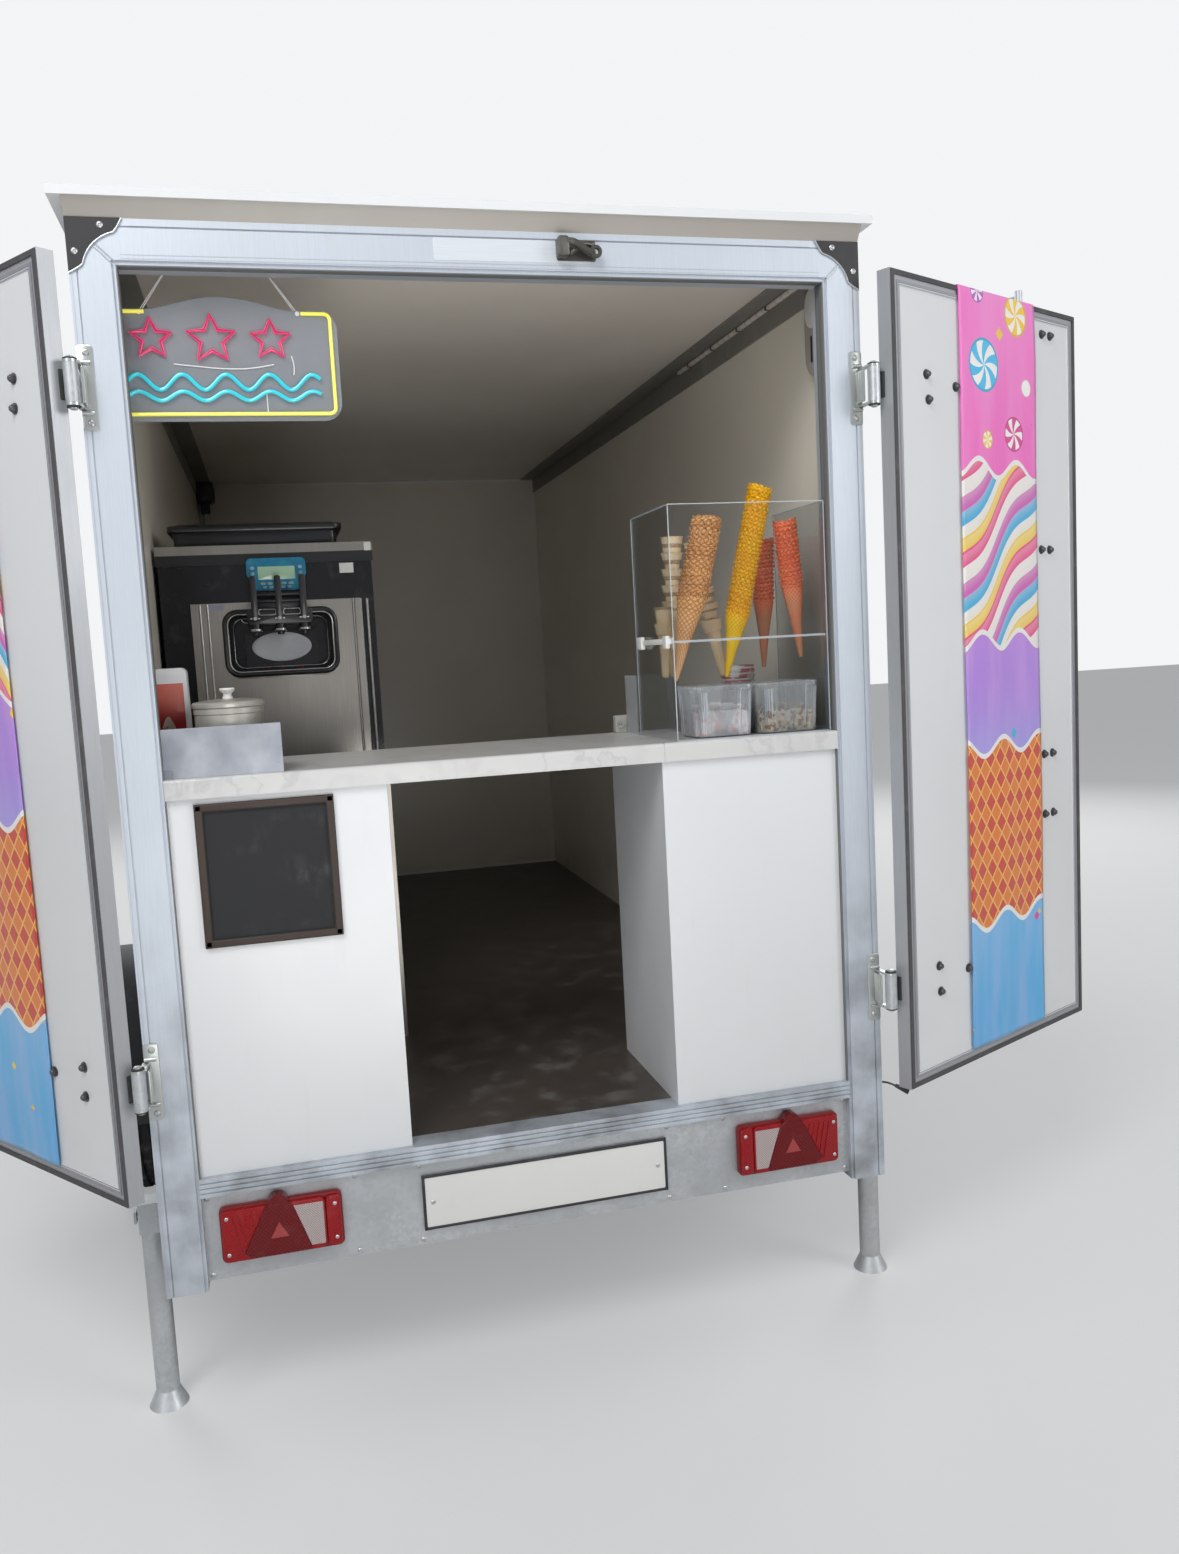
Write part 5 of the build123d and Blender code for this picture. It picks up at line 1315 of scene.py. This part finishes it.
def makeFrameHinges():
    cheeks, plates, rubbers, heads = (bmesh.new() for unused in range(4))
    front = hardware["plateY"][0]
    ends, gussetLift, gussetRadius = hardware["gusset"]
    screwX, screwLift, *screwSize = hardware["screw"]
    for side in (-1, 1):
        x, y = side * hinge["x"], hinge["y"]
        inner = side * hardware["cheek"][0]
        for height in hardware["heights"]:
            roundedBlock(cheeks, mirrored(side, hardware["cheek"]), hardware["cheekY"],
                         about(height, hardware["cheekHalf"]), 3, "x", 0.8)
            for deep in hardware["creases"]:
                upright(cheeks, inner, deep, about(height, hardware["creaseHalf"]), hardware["creaseRadius"], 10)
            roundedBlock(plates, mirrored(side, hardware["plate"]), hardware["plateY"],
                         about(height, hardware["half"]), 5, "y", 1)
            for end in (-1, 1):
                ear = sorted(height + end * reach for reach in hardware["ear"])
                block(plates, mirrored(side, hardware["earX"]), hardware["earY"], ear, 1)
                upright(plates, x, y, ear, hardware["knuckle"], 28)
                # pressed gusset between the ear and the tab
                low, high = ((side * reach, front, height + end * gussetLift) for reach in ends)
                rod(plates, low, high, gussetRadius, sides=12)
                place = Matrix.Translation(at(x, y, height + end * hardware["ear"][1])) @ facing("z", end)
                turned(rubbers, hardware["cap"], place, 24)
                turned(plates, hardware["button"], place, 20)
                screwHead(heads, side * screwX, front, height + end * screwLift, *screwSize)
            upright(plates, x, y, about(height, hardware["pinHalf"]), hardware["pinRadius"], 16)
    finished(cheeks, "hingeCheeks", "hingeZinc", "galv")
    finished(plates, "hingePlates", "hingeZinc", "galv", replaces=["hinge_brackets"])
    finished(rubbers, "hingeGaskets", "sealRubber", "rubber")
    finished(heads, "hingeScrews", "screwSteel", "galv")


def makeDoorHardware(side, name):
    own = {"body": f"door_{name}", "place": parked(side)}
    pads, bolts, nuts = bmesh.new(), bmesh.new(), bmesh.new()
    for height in hardware["heights"]:
        roundedBlock(pads, *hardware["pad"], about(height, hardware["padHalf"]), 2, "x", 0.6)
        for x, z in hardware["bolts"][height]:
            screwHead(bolts, x, hardware["boltY"], z, 9, 4)
    finished(pads, f"hingePads_{name}", "sealRubber", "rubber", **own)
    finished(bolts, f"strapBolts_{name}", "screwSteel", "galv", **own)
    face = hardware["doorFace"]
    low, high = (hardware["bolts"][height] for height in hardware["heights"])
    for x, z in high + low + (hardware["rightNuts"] if side > 0 else []):
        domeNut(nuts, x, face, z)
    finished(nuts, f"domeNuts_{name}", "nutBlack", "black_plastic", **own)

    # aluminium edge strips that step up to the door's rim, on its four sides
    strips = []
    left, right, foot, head = hardware["door"]
    for inset, wide, rise in hardware["strips"]:
        x, z = (left + inset, right - inset), (foot + inset, head - inset)
        y = (face, face + rise + 1.5)
        across = (x[0] + wide, x[1] - wide)
        strips += [((x[0], x[0] + wide), y, z), ((x[1] - wide, x[1]), y, z),
                   (across, y, (z[0], z[0] + wide)), (across, y, (z[1] - wide, z[1]))]
    fromRows(block, strips, f"doorEdgeStrips_{name}", "stripGrey", "alu", smooth=0, **own)


makeFrameHinges()
makeDoorHardware(-1, "left")
makeDoorHardware(1, "right")
print("hinges made")


# rear frame: corner plates with their mitre strips, drawn lines, seal, header plate and keeper
cap = {"outer": 780, "top": 2350, "leg": 98, "centre": (680, 2250), "radius": 77, "face": -3,
       "screws": ((-60, -13), (-13, -60)), "mitre": ((702, 2272), (757, 2326)), "mitreHalf": 3.2}
trim = {
    "lines": [((-690, 690), 2279), ((-690, 690), 2286), ((-670, 670), 2337)],
    "postLines": (((706, 707.4), (545, 2262)), ((775, 776.4), (320, 2246))),
    "seals": (((697.4, 700.2), (5, 26), (532, 2270), 1), ((698.2, 700.2), (28, 42), (1330, 2270), 0.6)),
    "headSeal": ((-698, 698), (5, 26), (2267.4, 2270.2), 1),
    "headerPlate": ((-118, 196), (-0.7, 0.4), (2292, 2334), 3, "y", 0.3)}
keeper = {
    "blocks": [((126, 206), (-4, 0), (2296, 2336), 4, "y", 1), ((124, 146), (-30, -3), (2298, 2336), 5, "y", 2)],
    "jaws": (([(132, -24, 2326), (156, -26, 2328), (176, -22, 2314), (192, -18, 2308)], 7),
             ([(150, -14, 2304), (168, -18, 2318), (180, -18, 2326), (196, -12, 2324)], 5)),
    "ring": [(6, -4), (12, -4), (13, 0), (12, 4), (6, 4), (6, -4)], "ringPlace": (202, -18, 2310),
    "screws": (136, 196)}


def makeCornerPlates():
    caps, rims, heads = bmesh.new(), bmesh.new(), bmesh.new()
    outer, top, leg, face = cap["outer"], cap["top"], cap["leg"], cap["face"]
    for side in (-1, 1):
        arc = []
        for step in range(13):
            angle = radians(73 - step * (56 / 12))
            arc.append((cap["centre"][0] + cap["radius"] * cos(angle), cap["centre"][1] + cap["radius"] * sin(angle)))
        edge = [(outer - leg, top), (outer - leg + 13, top - 24), *arc, (outer - 24, top - leg + 13),
                (outer, top - leg)]
        prism(caps, [(side * x, z) for x, z in [(outer, top)] + edge], face, 0, 0.8)
        tube(rims, [(side * x, face + 0.6, z) for x, z in edge], 1.5, smooth=True)
        for x, z in cap["screws"]:
            screwHead(heads, side * (outer + x), face, top + z, 6, 2.4)
        # raised strip over the mitre, with one rivet
        for offset in (-cap["mitreHalf"], cap["mitreHalf"]):
            start, end = ((side * (x + offset * 0.7), -0.4, z - offset * 0.7) for x, z in cap["mitre"])
            rod(rims, start, end, 1.1, sides=10)
        screwHead(heads, side * 742, -0.2, 2311, 3.4, 1.6)
    finished(caps, "cornerPlates", "capPlastic", "black_plastic", replaces=["corner_caps"])
    finished(rims, "cornerRims", "chromeSoft", "alu")
    finished(heads, "frameScrews", "screwSteel", "galv")


def makeFrameTrim():
    face = (-0.5, 0.4)
    lines = [(x, face, (low, low + 1.4)) for x, low in trim["lines"]]
    lines += [(mirrored(side, x), face, z) for side in (-1, 1) for x, z in trim["postLines"]]
    fromRows(block, lines, "frameLines", "rimAlu", "alu", smooth=0)
    seals = [(mirrored(side, x), *rest) for side in (-1, 1) for x, *rest in trim["seals"]]
    fromRows(block, seals + [trim["headSeal"]], "openingSeal", "seamDark", "rubber")
    fromRows(roundedBlock, [trim["headerPlate"]], "headerPlate", "platePale", "alu", smooth=20)
    mesh = bmesh.new()
    for values in keeper["blocks"]:
        roundedBlock(mesh, *values)
    for points, radius in keeper["jaws"]:
        tube(mesh, points, radius, smooth=True)
    turned(mesh, keeper["ring"], Matrix.Translation(at(*keeper["ringPlace"])) @ facing("y", -1), 28)
    for x in keeper["screws"]:
        screwHead(mesh, x, -4, 2330, 4, 2)
    finished(mesh, "rodKeeper", "brassZinc", "galv", replaces=["lock_keeper"])


makeCornerPlates()
makeFrameTrim()
print("frame trim made")


# tail lamps, the bumper's rivets and the number plate's frame
lamp = {"x": (429, 669), "z": (351, 466), "base": (4, 18), "lens": (-5, 6), "face": -5, "roundRadius": 20,
        "ridges": 5, "rivets": [(x, 18, z, 5, 2.2) for x in (-690, -400, -270, 270, 400, 690) for z in (325, 484)]
        + [(x, 12, 405, 5, 2) for x in (-245, 245)],
        # x, y, z, corner, axis, bevel
        "plateFrame": [((-264, 264), (10, 15), (low, low + 6), 2, "x", 0.5) for low in (346, 458)]
        + [((x, x + 6), (10, 15), (346, 464), 2, "z", 0.5) for x in (-266, 260)]}


def makeLamps():
    bases, lenses, clears, bands, marks, screws = (bmesh.new() for unused in range(6))
    (x0, x1), (z0, z1), face = lamp["x"], lamp["z"], lamp["face"]
    clear = [(x0 + 38, z1 - 13), (x0 + 96, z1 - 13), (x0 + 66, z0 + 14), (x0 + 38, z0 + 14)]
    band = [(x0 + 100, z1 - 4), (x0 + 150, z1 - 4), (x0 + 196, z0 + 20), (x0 + 180, z0 + 6), (x0 + 68, z0 + 6),
            (x0 + 66, z0 + 12)]
    triangle = [(x0 + 108, z0 + 42), (x0 + 144, z0 + 42), (x0 + 126, z0 + 74)]
    for side in (-1, 1):
        roundedBlock(bases, mirrored(side, (x0, x1)), lamp["base"], (z0, z1), 12, "y", 2)
        for x, corner in (((x0 + 4, x0 + 33), 9), ((x0 + 34, x1 - 4), 11)):
            roundedBlock(lenses, mirrored(side, x), lamp["lens"], (z0 + 4, z1 - 4), corner, "y", 2.5)
        prism(clears, [(side * x, z) for x, z in clear], face - 1.5, face + 2, 1)
        prism(bands, [(side * x, z) for x, z in band], face - 2.5, face + 2, 1.5)
        middle = side * (x0 + 125)
        rod(bands, (middle, face - 2, z1 - 4), (middle, 14, z1 - 4), lamp["roundRadius"], sides=36)
        prism(marks, [(side * x, z) for x, z in triangle], face - 3.4, face, 0.8)
        for index in range(lamp["ridges"]):
            ridge = side * (x0 + 168 + index * 12)
            rod(lenses, (ridge - side * 16, face - 0.2, z0 + 16), (ridge, face - 0.2, z1 - 14), 1.2, sides=8)
        for x, z in ((x0 + 15, z0 + 22), (x0 + 15, z1 - 22), (x1 - 14, z0 + 20), (x1 - 14, z1 - 20)):
            screwHead(screws, side * x, face, z, 4, 1.8)
    finished(bases, "lampBases", "lampDark", "lamp_red", replaces=["tail_lamps"])
    finished(lenses, "lampLenses", "lampLens", "lamp_red")
    finished(clears, "reversingLenses", "lampClear", "lamp_red")
    finished(bands, "lampBands", "lampDeep", "lamp_red")
    finished(marks, "lampTriangles", "lampReflector", "lamp_red", smooth=20)
    finished(screws, "lampScrews", "screwSteel", "galv")
    fromRows(screwHead, lamp["rivets"], "bumperRivets", "screwSteel", "galv")
    fromRows(roundedBlock, lamp["plateFrame"], "plateFrame", "blackPlastic", "black_plastic")


makeLamps()
print("lamps made")


# inside the box, and the right door's stop; each row is a shape and its values
inside = {
    "ceilingStrips": ("holedStrip", "galv", 20, [(roundedBlock, (733, 745), (58, 1052), (2318, 2328), 3, "y", 1)]),
    "jointLine": ("whitePlastic", "white_panel", 35,
                  [(block, (-686, 686), (3186, 3190), (2324, 2333.5), 1),
                   (block, (-749, 749), (3186, 3190), (532.4, 540), 1)]),
    "cornerJunction": ("blackPlastic", "black_plastic", 35,
                       [(roundedBlock, (-748, -676), (3060, 3186), (2248, 2328), 14, "y", 3),
                        (roundedBlock, (-735, -700), (3120, 3180), (2205, 2252), 8, "z", 3)]),
    "wallConduit": ("whitePlastic", "cabinet_white", 35, [(rod, (-720, 3170, 1500), (-720, 3170, 2206), 9)]),
    "wallFixture": ("taupePlastic", "cabinet_white", 35,
                    [(roundedBlock, (732, 750), (64, 174), (2104, 2302), 50, "x", 5)]),
    "fixtureHood": ("whitePlastic", "cabinet_white", 35,
                    [(roundedBlock, (729, 750), (72, 166), (2208, 2296), 38, "x", 5)]),
    "fixtureSlot": ("headBlack", "black_plastic", 35,
                    [(roundedBlock, (730.8, 736), (132, 141), (2136, 2194), 4, "x", 1)]),
    # thin bar with a tapered rubber grip, low on the post
    "doorStop": ("sealRubber", "rubber", 35,
                 [(tube, [(781, 24, 511.5), (796, 22, 510), (812, 16, 505), (824, 11, 498)], 2.2, False, True),
                  (rod, (820, 13, 501), (846, 2, 486), 4.2, 6.5)]),
    "worktopSeam": ("seamGrey", "stone_laminate", 0, [(block, (301.4, 302.6), (1.6, 421), (1284.5, 1324.25))]),
    "boardFrame": ("boardWood", "slate", 35,
                   [(roundedBlock, x, (4.5, 14), (990, 1272), 3, "z", 0.8) for x in ((-649, -634), (-400, -385))]
                   + [(roundedBlock, (-649, -385), (4.5, 14), z, 3, "x", 0.8) for z in ((990, 1005), (1257, 1272))])}


def stripPaint():
    # pale light strip with a dark clip every 190 mm
    paint = Paint("holedStrip", rough=0.45)
    y = paint.axes()[1]
    clip = (y / 0.19 + 0.3).part().away(0.5).under(0.035)
    diode = (y / 0.038).part().away(0.5).under(0.12)
    colour = paint.mix(paint.noise(8, 4), (0.84, 0.78, 0.70), (0.70, 0.64, 0.56))
    colour = paint.mix(diode * 0.35, colour, (0.30, 0.27, 0.23))
    paint.set(colour=paint.mix(clip, colour, (0.05, 0.05, 0.05)))
    paint.bump(1 - clip, 0.4, 0.001)


stripPaint()
for name, (finish, slot, smooth, shapes) in inside.items():
    mesh = bmesh.new()
    for shape, *values in shapes:
        shape(mesh, *values)
    finished(mesh, name, finish, slot, smooth=smooth)
print("room things made")


# wheels, jockey wheel and bellows; profiles are (radius, height along the axle)
wheel = {"x": 956.5, "y": 1360, "z": 318, "steps": 90, "cut": 5, "grooves": (-44, -15, 15, 44),
         "outer": [(178, -66), (186, -72), (200, -78), (236, -86), (262, -88.5), (286, -86), (300, -78),
                   (309, -68), (314, -62)],
         "inner": [(314, 62), (309, 68), (300, 78), (286, 86), (262, 88.5), (254, 87), (250, 88), (236, 86),
                   (200, 78), (186, 72), (178, 66), (178, -66)],
         "disc": [(177.6, 66), (172, 66), (170, 60), (164, 54), (160, 30), (150, 22), (128, 30), (96, 34),
                  (70, 40), (52, 48), (34, 48), (32, 44), (17.9, 44)],
         "vents": (100, 127), "sheet": 3,
         "barrel": [(177.6, 66), (177.6, -66), (170, -66), (166, -58), (140, -40), (112, -40), (112, 20),
                    (40, 26), (18, 26), (18, -60), (0, -60)],
         "hub": [(31, 40), (31, 58), (28, 64), (0, 66)],
         # bolts, their circle and height along the axle, then foot radius, head radius and length
         "bolts": 5, "boltCircle": 56, "boltHeight": 50, "bolt": (9.5, 8.5, 14)}
jockey = {"place": (168, 3830, 100),
          "tyre": [(8.4, -31), (40, -31), (46, -27), (62, -27), (84, -29), (94, -25), (99.5, -17), (100, -8),
                   (97, -6), (97, 6), (100, 8), (99.5, 17), (94, 25), (84, 29), (62, 27), (46, 27), (40, 31),
                   (8.4, 31), (8.4, -31)],
          "disc": [(8.4, 31.6), (20, 31.6), (24, 29.5), (52, 28.4), (58, 30), (62, 27.6)]}
bellows = {"place": (0, 3960, 472), "folds": 9, "pitch": 13, "outer": 38.6, "inner": 30}


def makeTyre(name, place):
    tyre = bmesh.new()
    profile = list(wheel["outer"])
    for groove in wheel["grooves"]:
        crown = 317 - abs(groove) * 0.03
        profile += [(crown, groove - 6), (309, groove - 4.5), (309, groove + 4.5), (crown, groove + 6)]
    for vert in turned(tyre, profile + wheel["inner"], Matrix.Identity(4), wheel["steps"]):
        # cross cuts in the shoulders, at every third step
        reach = hypot(vert.co.x, vert.co.y) * 1000
        turn = round(atan2(vert.co.y, vert.co.x) / (2 * pi) * wheel["steps"])
        if reach > 298 and turn % 3 == 0 and abs(vert.co.z) * 1000 > 38:
            vert.co.x *= 1 - wheel["cut"] / reach
            vert.co.y *= 1 - wheel["cut"] / reach
    finished(tyre, f"treadTyre_{name}", "tyreRubber", "tyre", f"wheel_{name}", replaces=[f"tyre_{name}"],
             place=place, smooth=28)


def makeRim(name, place):
    own = {"body": f"wheel_{name}", "place": place}
    rim, barrel, hub = bmesh.new(), bmesh.new(), bmesh.new()
    turned(rim, wheel["disc"], Matrix.Identity(4), 48)
    vents = []
    for face in rim.faces:
        middle = face.calc_center_median() * 1000
        turn = (atan2(middle.y, middle.x) / (2 * pi) * 48) % 4
        if wheel["vents"][0] < hypot(middle.x, middle.y) < wheel["vents"][1] and (turn < 1 or turn > 3):
            vents.append(face)
    bmesh.ops.delete(rim, geom=vents, context="FACES")
    piece = finished(rim, f"rimDisc_{name}", "wheelSilver", "wheel_silver", replaces=[f"rim_{name}"], smooth=40, **own)
    piece.modifiers.new("thick", "SOLIDIFY").thickness = wheel["sheet"] * millimetre
    turned(barrel, wheel["barrel"], Matrix.Identity(4), 48)
    turned(hub, wheel["hub"], Matrix.Identity(4), 32)
    low, high, length = (size * millimetre for size in wheel["bolt"])
    for index in range(wheel["bolts"]):
        angle = index * 2 * pi / wheel["bolts"]
        spot = Vector((wheel["boltCircle"] * cos(angle), wheel["boltCircle"] * sin(angle), wheel["boltHeight"]))
        bmesh.ops.create_cone(hub, cap_ends=True, segments=6, radius1=low, radius2=high, depth=length,
                              matrix=Matrix.Translation(spot * millimetre))
    finished(barrel, f"rimBarrel_{name}", "wheelDark", "wheel_silver", smooth=40, **own)
    finished(hub, f"hubCap_{name}", "screwSteel", "wheel_silver", **own)


def makeJockey():
    tyre, disc = bmesh.new(), bmesh.new()
    place = Matrix.Translation(at(*jockey["place"])) @ facing("x")
    turned(tyre, jockey["tyre"], place, 48)
    finished(tyre, "jockeyTyre", "tyreRubber", "rubber", "jack_wheel", replaces=["jockey_wheel"])
    for end in (-1, 1):
        turned(disc, [(radius, end * height) for radius, height in jockey["disc"]], place, 36)
    finished(disc, "jockeyDisc", "wheelSilver", "rubber", "jack_wheel")


def makeBellows():
    mesh = bmesh.new()
    folds = [(25.3, 0), (38, 0), (39, 4)]
    for index in range(bellows["folds"]):
        low = 6 + index * bellows["pitch"]
        folds += [(bellows["outer"] - index * 0.4, low + 4), (bellows["inner"], low + 9.5)]
    folds += [(34.6, 126), (34.6, 130), (25.3, 130), (25.3, 0)]
    turned(mesh, folds, Matrix.Translation(at(*bellows["place"])) @ facing("y"), 40)
    finished(mesh, "foldedBellows", "bellowsRubber", "rubber", replaces=["overrun_bellows"])


for side, name in ((-1, "left"), (1, "right")):
    axle = Matrix.Translation(at(side * wheel["x"], wheel["y"], wheel["z"])) @ facing("x", side)
    makeTyre(name, axle)
    makeRim(name, axle)
makeJockey()
makeBellows()
print("wheels made")


# floor, world and lamps
studio = {"floor": (0.80, 0.80, 0.795), "floorSize": 60, "floorY": 2000, "floorGlow": 0.42,
          "glow": (0.74, 0.75, 0.76), "world": (0.93, 0.96, 1.0), "worldLight": 0.13,
          "shown": (0.90, 0.91, 0.92), "mirrored": (0.55, 0.57, 0.60),
          # name, place, target, size in metres, power, spread in degrees
          "lamps": [("key", (-5000, -5600, 4300), (0, 900, 1300), 4.0, 88, 180),
                    ("fill", (5200, -4200, 3400), (0, 1200, 1000), 3.5, 138, 180),
                    ("bounce", (-200, -2000, 700), (0, 450, 2350), 1.2, 5.2, 90),
                    ("sky", (-2000, -3200, 5500), (300, 250, 1500), 2.6, 160, 180),
                    ("back", (-4400, 7600, 4200), (0, 1800, 900), 4.0, 220, 180),
                    ("side", (5600, 6600, 4200), (0, 1800, 900), 4.0, 200, 180)]}


def makeWorld():
    world = bpy.data.worlds.new("studio")
    bpy.context.scene.world = world
    world.use_nodes = True
    tree = world.node_tree
    back = tree.nodes["Background"]
    back.inputs["Color"].default_value = (*studio["world"], 1)
    back.inputs["Strength"].default_value = studio["worldLight"]
    path = tree.nodes.new("ShaderNodeLightPath")
    last = back.outputs[0]
    for ray, colour in (("Is Glossy Ray", "mirrored"), ("Is Transmission Ray", "shown"), ("Is Camera Ray", "shown")):
        other = tree.nodes.new("ShaderNodeBackground")
        other.inputs["Color"].default_value = (*studio[colour], 1)
        blend = tree.nodes.new("ShaderNodeMixShader")
        tree.links.new(path.outputs[ray], blend.inputs[0])
        tree.links.new(last, blend.inputs[1])
        tree.links.new(other.outputs[0], blend.inputs[2])
        last = blend.outputs[0]
    tree.links.new(last, tree.nodes["World Output"].inputs["Surface"])


def makeFloor():
    # far from the lamps the floor stays pale to the camera, and it keeps the trailer's shadow
    paint = Paint("studioFloor", rough=0.75)
    paint.set(colour=paint.mix(paint.noise(6, 5), studio["floor"], shade(studio["floor"], 0.96)))
    seen = paint.add("ShaderNodeLightPath", output="Is Camera Ray")
    glow = paint.add("ShaderNodeEmission", {}, {"Color": (*studio["glow"], 1)})
    paint.show(seen * studio["floorGlow"], paint.main, glow)
    mesh = bmesh.new()
    bmesh.ops.create_grid(mesh, x_segments=1, y_segments=1, size=studio["floorSize"] / 2)
    bmesh.ops.translate(mesh, verts=mesh.verts, vec=at(0, studio["floorY"], 0))
    data = bpy.data.meshes.new("studioFloor")
    mesh.to_mesh(data)
    mesh.free()
    data.materials.append(paint.material)
    ground = bpy.data.objects.new("studioFloor", data)
    bpy.context.scene.collection.objects.link(ground)


def makeLights():
    for name, place, target, size, power, spread in studio["lamps"]:
        data = bpy.data.lights.new(name, "AREA")
        data.shape = "DISK"
        data.size = size
        data.energy = power
        data.spread = radians(spread)
        light = bpy.data.objects.new(name, data)
        turn = (at(*target) - at(*place)).to_track_quat("-Z", "Y").to_matrix().to_4x4()
        light.matrix_world = Matrix.Translation(at(*place)) @ turn
        bpy.context.scene.collection.objects.link(light)


makeWorld()
makeFloor()
makeLights()
print("studio set")
